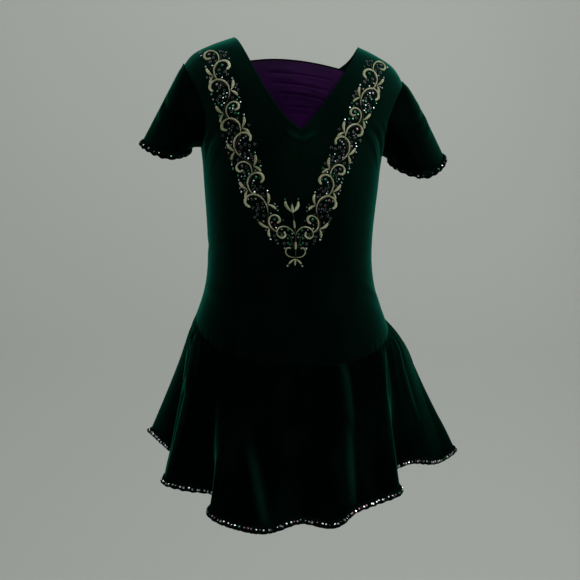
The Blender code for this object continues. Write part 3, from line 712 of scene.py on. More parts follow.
def drawEdge(item, target):
    # the edge that lies close beside the target is sewn to it, and the cloth beside the edge follows
    points = meshPoints(item)
    edge, pulls = [], []
    for v in facePoints(item, 2):
        place, normal, number, distance = target.find_nearest(points[v])
        if distance < skirt["sewnWithin"] * mm:
            edge.append(points[v])
            pulls.append(np.array(place) - points[v])
    for v, share, pull in followEdge(points, edge, pulls, skirt["sewnFade"], skirt["sewnBeside"]):
        points[v] = points[v] + skirt["sewnPull"] * share * pull
    setPoints(item, points)
    print(item.name, "sewn at", len(edge), "points")


def sharpenRims(item):
    # at the basque, side and shoulder seams two cloths lie edge to edge, so neither edge is rounded
    with editedMesh(item) as shape:
        for edge in shape.edges:
            looks = {face.material_index for face in edge.link_faces}
            atSide = all(abs(vertex.co.y) < skirt["rimWithin"] * mm for vertex in edge.verts)
            if len(looks) > 1 and (atSide or edge.verts[0].co.z < skirt["rimBelow"] * mm):
                edge.smooth = False


bodiceTree = treeOf(bodiceFront, bodiceBack)
drawEdge(skirtFront, bodiceTree)
drawEdge(skirtBack, bodiceTree)
drawEdge(skirtBack, treeOf(skirtFront))
for panel in (bodiceFront, bodiceBack, skirtFront, skirtBack):
    sharpenRims(panel)
print("skirt done")


# Sleeves. Their creases are in degrees round the sleeve (0 is its outer side, 90 its front) and
# millimetres down it from the armhole.

sleeves = {
    "levels": 3,
    "sleeve_right": {
        "piece": "sleeveRightVelvet",
        "top": (-119, -86),
        "cuff": (-156, -134),
        "creases": [
            (150, 14, 60, 34, 4.0, -1.3, 4),
            (140, 26, 70, 50, 4.5, 0.9, 4),
            (-150, 12, -70, 30, 4.5, -1.2, -4),
            (-140, 28, -60, 54, 5.0, 0.8, -3),
            (38, 4, 28, 42, 4.0, -0.9, 2),
            (12, 2, 14, 30, 3.6, 0.8, 0),
            (-24, 2, -20, 34, 4.0, -0.8, -2),
            (100, 40, 84, 66, 3.6, -0.8, 2),
        ],
    },
    "sleeve_left": {
        "piece": "sleeveLeftVelvet",
        "top": (119, -88),
        "cuff": (158.5, -142),
        "creases": [
            (155, 16, 70, 30, 4.0, -1.4, 4),
            (145, 30, 78, 52, 4.5, 1.0, 4),
            (-150, 14, -66, 34, 4.5, -1.3, -4),
            (-136, 30, -60, 56, 5.0, 0.9, -3),
            (44, 4, 34, 46, 4.2, -1.0, 2),
            (18, 2, 16, 34, 3.6, 0.9, 0),
            (-30, 2, -24, 36, 4.0, -0.9, -2),
            (64, 44, 58, 72, 3.4, -0.8, 1),
        ],
    },
    "settle": (0.80, 1.55),  # how far the seam edge's inner and outer points sink to meet the bodice
    "fade": 10.0,
    "beside": 40,
    "seamWithin": 5,
    "seamAbove": 45,
}


def sleeveAxis(nodeName):
    (topX, topZ), (lowX, lowZ) = sleeves[nodeName]["top"], sleeves[nodeName]["cuff"]
    top, low = Vector((topX * mm, 0, topZ * mm)), Vector((lowX * mm, 0, lowZ * mm))
    return top, (low - top).normalized()


def pressSleeve(item, nodeName):
    points = meshPoints(item)
    top, down = (np.array(v) for v in sleeveAxis(nodeName))
    out = np.array([-math.copysign(down[2], down[0]), 0.0, abs(down[0])])
    along = (points - top) @ down
    around = points - top - along[:, None] * down
    turn = np.arctan2(-around[:, 1], around @ out)
    rows = [(a, -b, c, -d, *rest) for a, b, c, d, *rest in sleeves[nodeName]["creases"]]
    rise, ridgeHighlight = creaseRise(turn, np.linalg.norm(around, axis=1), -along, rows)
    paintRidgeHighlights(item, ridgeHighlight)
    setPoints(item, points + rise[:, None] * unitRows(around))


def settleSleeve(item, nodeName):
    # the seam edge lies down on the bodice, and the cloth beside it follows
    points = meshPoints(item)
    top, down = (np.array(v) for v in sleeveAxis(nodeName))
    nearSeam, rests = [], []
    for v in facePoints(item, 2):
        place, normal, number, distance = bodiceTree.find_nearest(points[v])
        if distance < sleeves["seamWithin"] * mm and (points[v] - top) @ down < sleeves["seamAbove"] * mm:
            nearSeam.append(points[v])
            rests.append(normal)
    inner = set(facePoints(item, 1))
    for v, share, rest in followEdge(points, nearSeam, rests, sleeves["fade"], sleeves["beside"]):
        sink = sleeves["settle"][0 if v in inner else 1]
        points[v] = points[v] - unitRows(rest) * sink * mm * share
    setPoints(item, points)
    calmFolds(item, math.radians(30))


sleeveLooks = (velvetDown, velvetBack, velvetDown)
sleevePieces = {}
for nodeName in ("sleeve_right", "sleeve_left"):
    settings = sleeves[nodeName]
    top, down = sleeveAxis(nodeName)
    sleeve = clothFromSolid(
        settings["piece"],
        nodeName,
        sleeveLooks,
        lambda place: top + down * (place - top).dot(down),
        sleeves["levels"],
    )
    pressSleeve(sleeve, nodeName)
    settleSleeve(sleeve, nodeName)
    sleevePieces[nodeName] = sleeve
print("sleeves done")


# The pleated inset: its own tucks are pressed sharper than the solid's, each a trough under a soft ridge.

insetLook = {
    "levels": 3,
    # across and height where each starts and ends, width, rise and bow, all in millimetres
    "tucks": [
        (-40, -50, 38, -57, 1.5, -0.9, 2),
        (-34, -63, 34, -71, 1.6, -1.0, 2),
        (-28, -76, 30, -83, 1.6, -1.0, 2),
        (-20, -92, 20, -95, 1.6, -0.8, 1),
        (-36, -56, 10, -59, 2.4, 0.3, 1),
        (-8, -67, 32, -76, 2.2, 0.3, 2),
        (-16, -100, 12, -103, 1.6, -0.5, 1),
    ],
}


def pressInset(item):
    points = meshPoints(item)
    rise = np.zeros(len(points))
    for startX, startZ, endX, endZ, width, size, bow in insetLook["tucks"]:
        here = points[:, [0, 2]] - np.array([startX, startZ]) * mm
        along = np.tile(np.array([endX - startX, endZ - startZ]) * mm, (len(points), 1))
        share, distance = alongCrease(here, along, bow, width)
        rise += size * mm * np.sin(math.pi * (0.05 + 0.9 * share)) ** 0.6 * np.exp(-(distance**2))
    points[:, 1] -= rise
    setPoints(item, points)


inset = clothFromSolid("pleatedInset", "neck_inset", (purple, purple, purple), onAxis, insetLook["levels"])
pressInset(inset)
insetRoll = clothFromSolid(
    "insetRoll", "inset_binding", (darkBinding,) * 3, onAxis, 2, sharp=math.radians(75)
)
print("inset done")


# Rolled bindings, swept along the rings of their solids and drawn up over the velvet's edge.


def ringCentres(nodeName, radius):
    # the solid is a closed row of six-sided rings, and only a ring's own edges are as short as its radius
    shape = bmesh.new()
    shape.from_mesh(nodes[nodeName].data)
    bmesh.ops.remove_doubles(shape, verts=shape.verts, dist=0.01 * mm)
    shape.verts.ensure_lookup_table()
    shape.verts.index_update()
    ring, rings = {}, []
    for start in shape.verts:
        if start.index in ring:
            continue
        found, waiting = [], [start]
        ring[start.index] = len(rings)
        while waiting:
            vertex = waiting.pop()
            found.append(vertex)
            for edge in vertex.link_edges:
                beside = edge.other_vert(vertex)
                if edge.calc_length() < 1.2 * radius and beside.index not in ring:
                    ring[beside.index] = len(rings)
                    waiting.append(beside)
        rings.append(found)
    centres = [sum((vertex.co for vertex in found), Vector()) / len(found) for found in rings]
    order, here = [], 0
    while here is not None:
        order.append(here)
        near = {ring[e.other_vert(vertex).index] for vertex in rings[here] for e in vertex.link_edges}
        here = next((other for other in sorted(near) if other not in order), None)
    print(nodeName, len(rings), "rings of", len(rings[0]), "in order", len(order))
    shape.free()
    return np.array([centres[i] for i in order])


def closedCurve(points, spacing):
    # evenly spaced points on the smooth closed curve through these
    wrap = np.concatenate([points[-3:], points, points[:4]])
    runs = runsAlong(wrap)
    fine = throughPoints(runs, wrap, np.linspace(runs[3], runs[3 + len(points)], 40 * len(points) + 1))
    lengths = runsAlong(fine)
    count = int(round(lengths[-1] / spacing))
    marks = np.arange(count) / count * lengths[-1]
    return np.stack([np.interp(marks, lengths, fine[:, axis]) for axis in range(3)], axis=1), lengths[-1]


bindings = {
    "radius": 3.0,
    "lip": 3.1,  # how far the roll's top is drawn up over the velvet's edge
    "around": 18,
    "spacing": 2.0,
    "wrinkle": 0.22,
    "waves": 7,
    "seed": 5,
}


def bindingFrames(nodeName, cloths):
    # centres, the way along, the way up to the velvet's edge, and the way outward, all along the roll
    radius = bindings["radius"] * mm
    centres, length = closedCurve(ringCentres(nodeName, radius), bindings["spacing"] * mm)
    edge = [cloth.data.vertices[v].co for cloth in cloths for v in facePoints(cloth, 2)]
    tree = placeTree(edge)
    ups = []
    for centre in centres:
        near = [place for place, number, distance in tree.find_n(centre, 10)]
        ups.append(np.mean([np.array(place) for place in near], axis=0) - centre)
    ups = np.array(ups)
    for turn in range(6):
        ups = (np.roll(ups, 1, axis=0) + ups + np.roll(ups, -1, axis=0)) / 3
    along = unitRows(np.roll(centres, -1, axis=0) - np.roll(centres, 1, axis=0))
    ups = unitRows(ups - (ups * along).sum(1)[:, None] * along)
    outs = np.cross(along, ups)
    heart = centres.mean(axis=0)
    if ((centres - heart) * outs).sum() < 0:
        outs = -outs
    return centres, along, ups, outs, length


def sweepBinding(name, frames, seed):
    centres, along, ups, outs, length = frames
    dice = random.Random(seed)
    count, sides = len(centres), bindings["around"]
    runs = np.arange(count) / count * length / mm
    waves = [
        (dice.uniform(4, 15), dice.uniform(0, 6.28), dice.choice((0, 1, 2)), dice.uniform(0.3, 1))
        for wave in range(bindings["waves"])
    ]
    points = np.empty((count, sides, 3))
    for k in range(sides):
        turn = 2 * math.pi * k / sides
        reach = np.full(count, bindings["radius"] + bindings["lip"] * max(0.0, math.cos(turn)) ** 6)
        for period, phase, twist, share in waves:
            ripple = 2 * math.pi * round(runs[-1] / period) * runs / runs[-1]
            reach += bindings["wrinkle"] * share * np.sin(ripple + phase + twist * turn)
        reach = reach[:, None] * mm
        points[:, k] = centres + reach * (math.cos(turn) * ups + math.sin(turn) * outs)
    faces = []
    for i in range(count):
        here, there = i * sides, (i + 1) % count * sides
        for k in range(sides):
            beside = (k + 1) % sides
            faces.append([here + k, here + beside, there + beside, there + k])
    made = addMesh(name, points.reshape(-1, 3), faces, (darkBinding,))
    makeOutward(made)
    return made


def makeOutward(item):
    with editedMesh(item) as shape:
        bmesh.ops.recalc_face_normals(shape, faces=shape.faces)


hemFrames = bindingFrames("hem_binding", (skirtFront, skirtBack))
cuffFrames = {
    "Left": bindingFrames("cuff_binding_left", (sleevePieces["sleeve_left"],)),
    "Right": bindingFrames("cuff_binding_right", (sleevePieces["sleeve_right"],)),
}
hemRoll = sweepBinding("hemRoll", hemFrames, bindings["seed"])
cuffSeed = bindings["seed"] + 1
cuffRolls = {side: sweepBinding("cuffRoll" + side, cuffFrames[side], cuffSeed) for side in cuffFrames}
print("bindings done")


# Scrollwork: a swaying vine with open curls and leaves, worked flat on one side of the centre, mirrored,
# then laid on the bodice front. Lengths are millimetres and turns degrees, as in its solid.

scrollwork = {
    "vineLine": [(0, -260), (14, -246), (30, -222), (43, -190), (56, -155)]
    + [(71, -113), (83, -82), (91, -58), (98, -36), (102, -20)],
    # how far all of it lies to one side at a height
    "drift": [(-290, -6.0), (-250, -5.5), (-200, -11.5), (-150, -10.5)]
    + [(-100, -7.5), (-60, -4.0), (-25, -1.0), (0, 0.0)],
    "tilt": 1.3,  # degrees; the left shoulder hangs lower, a slope that fades out between these two heights
    "tiltFrom": (-250, -60),
    "bends": 11,
    "sway": 7.0,
    "vineWidth": 1.5,
    "vineEnd": 0.965,
    "curls": [(55, 300, 4.2), (46, 340, 3.6), (56, 270, 4.0)],  # length, turn, width
    "leaves": [(14, 50, 50, 4.6), (11, 118, -50, 4.0)],  # length, lean, turn, width
    # x, height, heading, length, turn, width
    "stemCurls": [(0, -246, 76, 50, -400, 3.2), (0, -271, -12, 24, 235, 2.6)],
    "stemLeaves": [(0, -218, 38, 16, 62, 5.0), (0, -273, -30, 10, -30, 3.4)],
    "stem": (-276, -206),
    "stemWidth": 1.5,
    # foot, tip, width
    "stemDrops": [(-206, -219, 4.2), (-224, -237, 3.4), (-250, -262, 3.6), (-270, -281, 3.2)],
    "tighten": 1.7,
    # points along the path, then along the finished strip
    "curlSteps": (10, 34),
    "leafSteps": (4, 14),
    "slimmer": 0.70,  # the stitched strokes are finer than their solids
    "clothThick": 1.5,
    "height": 1.35,
    # a satin roll's section: across, then rise
    "section": [(-1.0, -0.25), (-1.0, 0.1), (-0.88, 0.58), (-0.5, 0.92), (0.0, 1.0)]
    + [(0.5, 0.92), (0.88, 0.58), (1.0, 0.1), (1.0, -0.25)],
}


def vinePoints(shares):
    line = np.array(scrollwork["vineLine"], float)
    runs = runsAlong(line)
    at = shares * runs[-1]
    ahead = throughPoints(runs, line, np.minimum(at + 1, runs[-1]))
    behind = throughPoints(runs, line, np.maximum(at - 1, 0))
    along = unitRows(ahead - behind)
    left = np.stack([-along[:, 1], along[:, 0]], axis=1)
    sway = scrollwork["sway"] * np.sin(math.pi * scrollwork["bends"] * shares) * ease(0.0, 0.08, shares)
    return throughPoints(runs, line, at) + sway[:, None] * left


def vineHeading(share):
    behind, ahead = vinePoints(np.array([share - 0.01, share + 0.01]))
    return math.degrees(math.atan2(ahead[1] - behind[1], ahead[0] - behind[0]))


def curlPath(start, heading, length, turn, stations, tighten):
    # leaves the start on a heading and curls up tighter towards its end
    points, angle = [np.array(start, float)], math.radians(heading)
    weights = 0.3 + np.linspace(0.0, 1.0, stations) ** tighten
    for bend in math.radians(turn) * weights / weights.sum():
        angle += bend / 2
        points.append(points[-1] + length / stations * np.array([math.cos(angle), math.sin(angle)]))
        angle += bend / 2
    return np.array(points)


def curlWidth(share, width):
    swell = 0.14 + 0.56 * np.sin(math.pi * share) ** 1.4 + 0.78 * ease(0.62, 0.88, share)
    return scrollwork["slimmer"] * width / 2 * swell


def leafWidth(share, width):
    swell = 0.22 + 0.78 * np.sin(math.pi * np.minimum(1.0, 0.86 * share**1.15))
    return scrollwork["slimmer"] * width / 2 * swell


def finishStrip(path, widthAt, stations):
    # evenly along the path, then closer together where the end is rounded off
    runs = runsAlong(path)
    endWidth = float(widthAt(np.array([1.0]))[0])
    rounding = min(0.5, 1.2 * endWidth / runs[-1])
    steps = np.sin(np.radians(np.linspace(12, 90, 7)))
    shares = np.concatenate([np.linspace(0.0, 1 - rounding, stations), 1 - rounding * (1 - steps)])
    half = widthAt(shares)
    half *= np.sqrt(np.clip(1 - np.clip((shares - 1 + rounding) / rounding, 0, 1) ** 2, 0.0004, 1))
    half *= np.sqrt(np.clip(shares / 0.02, 0.05, 1))
    return throughPoints(runs, path, shares * runs[-1]), half


def scrollStrips():
    # the gold strips of one side, then the place inside each curl and the tip of each leaf
    gold, hollows, tips = [], [], []

    def addCurl(start, heading, length, turn, width):
        steps, stations = scrollwork["curlSteps"]
        path = curlPath(start, heading, length, turn, steps, scrollwork["tighten"])
        gold.append(finishStrip(path, lambda share: curlWidth(share, width), stations))
        hollows.append(path[4:].mean(axis=0))

    def addLeaf(start, heading, length, turn, width, tighten):
        steps, stations = scrollwork["leafSteps"]
        path = curlPath(start, heading, length, turn, steps, tighten)
        gold.append(finishStrip(path, lambda share: leafWidth(share, width), stations))
        tips.append(path[-1] + 2.4 * (path[-1] - path[-2]) / np.linalg.norm(path[-1] - path[-2]))

    for bend in range(1, scrollwork["bends"]):
        bow = 1 if bend % 2 == 0 else -1
        here = bend / scrollwork["bends"]
        length, turn, width = scrollwork["curls"][bend % len(scrollwork["curls"])]
        addCurl(vinePoints(np.array([here]))[0], vineHeading(here), length, -bow * turn, width)
        if bend == 1:
            continue
        crest = here - 0.5 / scrollwork["bends"]
        for length, lean, turn, width in scrollwork["leaves"]:
            start = vinePoints(np.array([crest]))[0]
            addLeaf(start, vineHeading(crest) - bow * lean, length, bow * turn, width, 0.0)
    for x, height, heading, length, turn, width in scrollwork["stemCurls"]:
        addCurl((x, height), heading, length, turn, width)
    for x, height, heading, length, turn, width in scrollwork["stemLeaves"]:
        addLeaf((x, height), heading, length, turn, width, scrollwork["tighten"])
    return gold, hollows, tips


frontTree = treeOf(bodiceFront)


def driftedPlace(x, height):
    # where a flat place comes to lie, seen from the front, in metres
    heights, sideways = zip(*scrollwork["drift"])
    across = x + float(throughPoints(heights, sideways, np.array([height]))[0])
    lean = math.tan(math.radians(scrollwork["tilt"])) * float(ease(*scrollwork["tiltFrom"], height))
    return across * mm, (height - across * lean) * mm


def layOn(x, height, lift):
    # the place this far out from the cloth's inner face, and the way out there
    across, level = driftedPlace(x, height)
    start, forward = Vector((across, 0.0, level)), Vector((0.0, -1.0, 0.0))
    place, normal, number, distance = frontTree.ray_cast(start, forward)
    if place is None:
        place, normal, number, distance = frontTree.find_nearest(Vector((across, -20 * mm, level)))
    outward = normal if normal.y < 0 else -normal
    return place + outward * lift * mm, outward


def layRibbon(path, half, side, order, points, faces, uvs):
    along = unitRows(np.gradient(path, axis=0))
    left = np.stack([-along[:, 1], along[:, 0]], axis=1)
    runs = runsAlong(path)
    section, first = scrollwork["section"], len(points)
    for i in range(len(path)):
        height = min(scrollwork["height"], 0.45 + 0.55 * half[i]) + 0.03 * (order % 4)
        for across, rise in section:
            x, z = path[i] + left[i] * half[i] * across
            place, outward = layOn(side * x, z, scrollwork["clothThick"] + rise * height)
            points.append(place)
    count = len(section)
    for i in range(len(path) - 1):
        for k in range(count):
            beside = (k + 1) % count
            corners = [(i, k), (i, beside), (i + 1, beside), (i + 1, k)]
            faces.append([first + row * count + column for row, column in corners])
            for row, column in corners:
                across = section[column][0] * half[row]
                uvs.append((runs[row] + 0.5 * across, across))
    for row, columns in ((0, range(count)), (len(path) - 1, reversed(range(count)))):
        faces.append([first + row * count + column for column in columns])
        uvs += [(runs[row], 0.0)] * count


def layRibbons(name, strips, look):
    points, faces, uvs = [], [], []
    for order, (path, half, side) in enumerate(strips):
        layRibbon(path, half, side, order, points, faces, uvs)
    made = addMesh(name, points, faces, (look,), uvs=uvs)
    makeOutward(made)
    return made


goldStrips, hollows, tips = scrollStrips()
vineShares = np.linspace(0.0, scrollwork["vineEnd"], 190)
vinePath = vinePoints(vineShares)
vineHalf = np.full(len(vinePath), scrollwork["vineWidth"] / 2) * np.sqrt(
    np.clip((scrollwork["vineEnd"] - vineShares) / 0.01, 0.02, 1)
)
stemPath = np.stack([np.zeros(50), np.linspace(*scrollwork["stem"], 50)], axis=1)
stemHalf = np.full(50, scrollwork["stemWidth"] / 2)
dropStrips = []
dropStations = scrollwork["leafSteps"][1]
for foot, tip, width in scrollwork["stemDrops"]:
    dropPath = np.array([[0.0, foot], [0.0, (foot + tip) / 2], [0.0, tip]])
    dropStrips.append(finishStrip(dropPath, lambda share: leafWidth(share, width), dropStations))
goldRows = [(path, half, side) for path, half in goldStrips for side in (1, -1)]
goldWork = layRibbons("scrollEmbroidery", goldRows + [(*drop, 1) for drop in dropStrips], goldThread)
vineWork = layRibbons(
    "vineCord", [(vinePath, vineHalf, 1), (vinePath, vineHalf, -1), (stemPath, stemHalf, 1)], vineThread
)
print("scrollwork done")


# Stones and ring sequins: one of each is modelled, then copied into joined pieces, one for each colour.


def modelStone():
    # a flat-backed stone, one unit in radius: a girdle, eight kites and a table
    deselectAll()
    bpy.ops.mesh.primitive_cone_add(vertices=8, radius1=1.0, radius2=0.55, depth=0.42, location=(0, 0, 0.33))
    stone = bpy.context.object
    bpy.ops.object.mode_set(mode="EDIT")
    bpy.ops.mesh.select_all(action="DESELECT")
    shape = bmesh.from_edit_mesh(stone.data)
    for face in shape.faces:
        face.select_set(face.normal.z < -0.9)
    bmesh.update_edit_mesh(stone.data)
    bpy.ops.mesh.extrude_region_move(TRANSFORM_OT_translate={"value": (0, 0, -0.12)})
    bpy.ops.mesh.select_all(action="SELECT")
    bpy.ops.mesh.normals_make_consistent(inside=False)
    bpy.ops.object.mode_set(mode="OBJECT")
    return takeTemplate(stone)


def modelRing():
    # a cup sequin's bright ring, one unit in radius
    deselectAll()
    bpy.ops.mesh.primitive_torus_add(
        major_segments=12, minor_segments=4, major_radius=0.72, minor_radius=0.27, location=(0, 0, 0.1)
    )
    ring = bpy.context.object
    bpy.ops.object.mode_set(mode="EDIT")
    bpy.ops.mesh.select_all(action="SELECT")
    bpy.ops.transform.resize(value=(1.0, 1.0, 0.4))
    bpy.ops.object.mode_set(mode="OBJECT")
    return takeTemplate(ring)


def takeTemplate(item):
    bpy.ops.object.transform_apply(location=True, rotation=True, scale=True)
    points = meshPoints(item)
    faces = [list(face.vertices) for face in item.data.polygons]
    bpy.data.objects.remove(item, do_unlink=True)
    return points, faces


templates = {"stone": modelStone(), "ring": modelRing()}
spots = {look: [] for look in stoneLooks}  # (place, way out, radius, twist) for each colour


def addSpot(look, place, outward, radius, twist):
    spots[look].append((np.array(place), np.array(outward), radius * mm, twist))


def joinSpots(name, look):
    kind = "ring" if look == "ring" else "stone"
    shapePoints, shapeFaces = templates[kind]
    points, faces = [], []
    for place, outward, radius, twist in spots[look]:
        side = unitRows(np.cross(outward, [0.13, 0.21, 0.97]))
        other = np.cross(outward, side)
        turned = math.cos(twist) * side + math.sin(twist) * other
        frameRows = np.stack([turned, np.cross(outward, turned), outward])
        first = len(points) * len(shapePoints)
        points.append(place + radius * shapePoints @ frameRows)
        faces += [[first + v for v in face] for face in shapeFaces]
    made = addMesh(name, np.concatenate(points), faces, (stoneLooks[look],), smooth=kind == "ring")
    return keepPiece(made)


trimStones = {
    "hemEvery": 4.7,
    "hemTurn": 72,  # degrees from the velvet's edge round the roll's outer side
    "sway": 14,
    "stray": 0.22,  # a share of the spacing
    "sunk": 0.1,
    "hemSizes": (1.0, 1.25, 1.5),
    "hemColours": {"clear": 15, "emerald": 2, "garnet": 2, "smoke": 3},
    "cuffEvery": 11.0,
    "cuffColours": {"clear": 8, "emerald": 3, "garnet": 1, "smoke": 5},
    "seed": 21,
}


def pick(dice, weights):
    return dice.choices(list(weights), list(weights.values()))[0]


def stonesOnBinding(frames, every, colours, dice):
    centres, along, ups, outs, length = frames
    count = int(round(length / mm / every))
    stray, sway = trimStones["stray"], trimStones["sway"]
    for number in range(count):
        run = (number + dice.uniform(-stray, stray)) / count % 1.0
        i = int(run * len(centres)) % len(centres)
        turn = math.radians(trimStones["hemTurn"] + dice.uniform(-sway, sway))
        outward = unitRows(math.cos(turn) * ups[i] + math.sin(turn) * outs[i])
        reach = bindings["radius"] + bindings["lip"] * max(0.0, math.cos(turn)) ** 6 - trimStones["sunk"]
        size = dice.choice(trimStones["hemSizes"])
        addSpot(pick(dice, colours), centres[i] + reach * mm * outward, outward, size, dice.uniform(0, 6))


dice = random.Random(trimStones["seed"])
stonesOnBinding(hemFrames, trimStones["hemEvery"], trimStones["hemColours"], dice)
for side in cuffFrames:
    stonesOnBinding(cuffFrames[side], trimStones["cuffEvery"], trimStones["cuffColours"], dice)


# Between the scrolls: an emerald in each curl, clear stones off the leaf tips, then rings and small stones
# wherever the band has room.

scrollStones = {
    "bandHalf": 16.5,
    "tries": 2600,
    "clearOfGold": 0.3,
    "clearOfOthers": 0.6,
    "mixes": [
        {"ring": 8, "emerald": 10, "clear": 2, "smoke": 2},
        {"ring": 12, "garnet": 4, "clear": 2, "smoke": 3},
        {"ring": 16, "clear": 1, "smoke": 4, "emerald": 1},
    ],
    "sizes": {
        "ring": (1.7, 2.1),
        "emerald": (1.1, 1.6),
        "garnet": (1.1, 1.5),
        "clear": (0.8, 1.2),
        "smoke": (0.9, 1.3),
    },
    "inCurls": ("emerald", "garnet", "emerald", "smoke"),
    "nudge": 0.3,
    "lean": 0.12,
    "curlSize": 1.9,
    "tipSize": 1.1,
    "between": (-276, -24),
    "seed": 8,
}


def scatterOnBand():
    dice = random.Random(scrollStones["seed"])
    goldPlaces = [(x, z, w) for path, half in goldStrips for (x, z), w in zip(path, half)]
    goldPlaces += [(x, z, 0.75) for x, z in vinePath] + [(0.0, z, w) for (x, z), w in zip(stemPath, stemHalf)]
    gold = np.array(goldPlaces)
    taken = []
    nudge, lean = scrollStones["nudge"], scrollStones["lean"]

    def hasRoom(x, z, radius):
        gap = np.hypot(gold[:, 0] - x, gold[:, 1] - z) - gold[:, 2]
        if gap.min() < radius + scrollStones["clearOfGold"]:
            return False
        return all(math.hypot(x - a, z - b) > radius + r + scrollStones["clearOfOthers"] for a, b, r in taken)

    def put(look, x, z, radius):
        if x < radius or not hasRoom(x, z, radius):
            return
        taken.append((x, z, radius))
        for side in (1, -1):
            nudgeX, nudgeZ = dice.uniform(-nudge, nudge), dice.uniform(-nudge, nudge)
            place, outward = layOn(side * x + nudgeX, z + nudgeZ, scrollwork["clothThick"])
            tilt = Vector([dice.uniform(-lean, lean) for axis in range(3)])
            addSpot(look, place, (outward + tilt).normalized(), radius, dice.uniform(0, 6))

    for number, (x, z) in enumerate(hollows):
        put(scrollStones["inCurls"][number % 4], x, z, scrollStones["curlSize"])
    for number, (x, z) in enumerate(tips):
        put("clear" if number % 3 else "emerald", x, z, scrollStones["tipSize"])
    line = np.array(scrollwork["vineLine"], float)
    low, high = scrollStones["between"]
    for number in range(scrollStones["tries"]):
        share = dice.uniform(0.0, 1.0)
        x, z = vinePoints(np.array([share]))[0] + np.array(
            [dice.gauss(0, 0.55) * scrollStones["bandHalf"], dice.uniform(-4, 4)]
        )
        mix = scrollStones["mixes"][int(share * 9) % 3]
        look = pick(dice, mix)
        middleX = float(np.interp(z, line[:, 1], line[:, 0]))
        if abs(x - middleX) < scrollStones["bandHalf"] and low < z < high:
            put(look, x, z, dice.uniform(*scrollStones["sizes"][look]))
    print("band holds", len(taken), "on each side")


scatterOnBand()
stonePieces = [joinSpots(look + ("Sequins" if look == "ring" else "Stones"), look) for look in stoneLooks]
print("stones done", sum(len(rows) for rows in spots.values()))


# Each piece goes on the root in place of the solid it replaces, then each cloth panel's cut beside the area
# of its right side.

for item, slotName, nodeName in (
    (bodiceFront, "green_velvet", "bodice_front"),
    (bodiceBack, "green_velvet", "bodice_back"),
    (skirtFront, "green_velvet", "skirt_front"),
    (skirtBack, "green_velvet", "skirt_back"),
    (sleevePieces["sleeve_right"], "green_velvet", "sleeve_right"),
    (sleevePieces["sleeve_left"], "green_velvet", "sleeve_left"),
    (inset, "purple_stretch", "neck_inset"),
    (insetRoll, "dark_binding", "inset_binding"),
    (hemRoll, "dark_binding", "hem_binding"),
    (cuffRolls["Left"], "dark_binding", "cuff_binding_left"),
    (cuffRolls["Right"], "dark_binding", "cuff_binding_right"),
    (goldWork, "gold_thread", "applique"),
):
    keepPiece(item, slotName, [nodeName])
keepPiece(vineWork, "gold_thread")

cutSizes = {
    "bodiceFrontVelvet": (0.345, 0.400),
    "bodiceBackVelvet": (0.345, 0.370),
    "skirtFrontVelvet": (0.56, 0.27),
    "skirtBackVelvet": (0.62, 0.30),
    "sleeveRightVelvet": (0.30, 0.125),
    "sleeveLeftVelvet": (0.30, 0.13),
    "pleatedInset": (0.15, 0.115),
}
for item, held, rests, extra in (
    (bodiceFront, "stretched", [bodiceBack], [goldWork, vineWork, *stonePieces]),
    (bodiceBack, "stretched", [bodiceFront], []),
    (skirtFront, "hung", [bodiceFront], [hemRoll]),
    (skirtBack, "hung", [bodiceBack], []),
    (sleevePieces["sleeve_right"], "hung", [bodiceFront], [cuffRolls["Right"]]),
    (sleevePieces["sleeve_left"], "hung", [bodiceFront], [cuffRolls["Left"]]),
    (inset, "gathered", [bodiceFront], [insetRoll]),
):
    width, length = cutSizes[item.name]
    area = facingArea(item)
    print(item.name, "right side", round(area, 4), "of", round(width * length, 4))
    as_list(rests)
    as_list(extra)


# Studio: a pale floor and wall, soft lights and the camera.

studio = {
    "cameraDistance": 1.6,
    "cameraHeight": -0.310,
    "azimuth": -8.0,
    "roll": 0.9,
    "frameWidth": 0.725,
    "sensor": 36.0,
    "floorHeight": -1.15,
    "wallBehind": 1.5,
    "wallBend": 0.7,
    "wallColour": (0.56, 0.58, 0.55),
    "airColour": (0.80, 0.83, 0.80),
    "airStrength": 0.16,
    "lookAt": (0.0, 0.0, -0.3),
    # place, width and height, watts and colour
    "lights": {
        "keyLeft": ((-1.5, -1.1, 0.7), (0.8, 1.4), 6.8, (0.97, 1.0, 0.98)),
        "keyRight": ((1.6, -0.7, 0.5), (0.8, 1.4), 18.0, (0.98, 1.0, 0.99)),
        "rimLeft": ((-1.3, 0.8, 0.2), (0.5, 1.4), 1.5, (0.95, 1.0, 1.0)),
        "rimRight": ((1.3, 0.8, 0.2), (0.5, 1.4), 1.5, (0.95, 1.0, 1.0)),
        "overhead": ((0.0, -0.25, 1.5), (2.2, 1.4), 15.0, (1.0, 1.0, 1.0)),
        "wallWash": ((0.35, 0.5, 1.2), (2.4, 0.5), 2.8, (1.0, 1.0, 0.98)),
    },
    "washAt": (0.4, 1.5, -0.3),
}


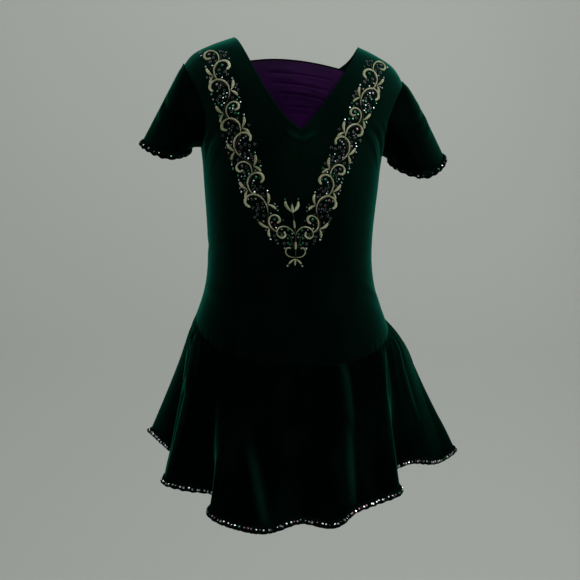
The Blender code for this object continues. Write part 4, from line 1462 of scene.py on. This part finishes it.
def buildBackdrop():
    # floor, wall and the soft curve between, drawn as one profile and pulled sideways
    floor, back, bend = studio["floorHeight"], studio["wallBehind"], studio["wallBend"]
    profile = [(-4.0, floor), (back - bend, floor)]
    for step in range(1, 10):
        turn = step / 10 * math.pi / 2
        profile.append((back - bend + bend * math.sin(turn), floor + bend * (1 - math.cos(turn))))
    profile += [(back, floor + bend), (back, 2.6)]
    points = [(x, y, z) for x in (-4.0, 4.0) for y, z in profile]
    count = len(profile)
    faces = [[i, count + i, count + i + 1, i + 1] for i in range(count - 1)]
    look, parts, links, shader = newMaterial("paleBackdrop", studio["wallColour"], 0.9)
    # its rear side is clear, so that a view from behind the wall still shows the dress
    facing = addNode(parts, "NewGeometry")
    clear = addNode(parts, "BsdfTransparent")
    eitherSide = addNode(parts, "MixShader")
    links.new(facing.outputs["Backfacing"], eitherSide.inputs[0])
    links.new(shader.outputs["BSDF"], eitherSide.inputs[1])
    links.new(clear.outputs["BSDF"], eitherSide.inputs[2])
    links.new(eitherSide.outputs["Shader"], look.node_tree.get_output_node("ALL").inputs["Surface"])
    addMesh("backdrop", points, faces, (look,))


def addLight(name, place, size, power, colour):
    light = bpy.data.lights.new(name, "AREA")
    light.shape = "RECTANGLE"
    light.size, light.size_y = size
    light.energy = power
    light.color = colour
    made = bpy.data.objects.new(name, light)
    bpy.context.scene.collection.objects.link(made)
    made.location = place
    target = studio["washAt"] if name == "wallWash" else studio["lookAt"]
    made.rotation_euler = (Vector(target) - Vector(place)).to_track_quat("-Z", "Y").to_euler()


def buildCamera():
    turn = math.radians(studio["azimuth"])
    back = Vector((math.sin(turn), -math.cos(turn), 0.0))
    camera = bpy.data.cameras.new("camera")
    camera.sensor_width = studio["sensor"]
    camera.lens = studio["sensor"] * studio["cameraDistance"] / studio["frameWidth"]
    made = bpy.data.objects.new("camera", camera)
    bpy.context.scene.collection.objects.link(made)
    made.location = Vector((0.0, 0.0, studio["cameraHeight"])) + back * studio["cameraDistance"]
    made.rotation_euler = (-back).to_track_quat("-Z", "Y").to_euler()
    made.rotation_euler.rotate_axis("Z", math.radians(studio["roll"]))
    bpy.context.scene.camera = made


buildBackdrop()
for name, (place, size, power, colour) in studio["lights"].items():
    addLight(name, place, size, power, colour)
air = bpy.data.worlds.new("studioAir")
air.use_nodes = True
air.node_tree.nodes["Background"].inputs["Color"].default_value = (*studio["airColour"], 1.0)
air.node_tree.nodes["Background"].inputs["Strength"].default_value = studio["airStrength"]
bpy.context.scene.world = air
buildCamera()
bpy.context.scene.view_settings.view_transform = "Standard"
print("studio done")
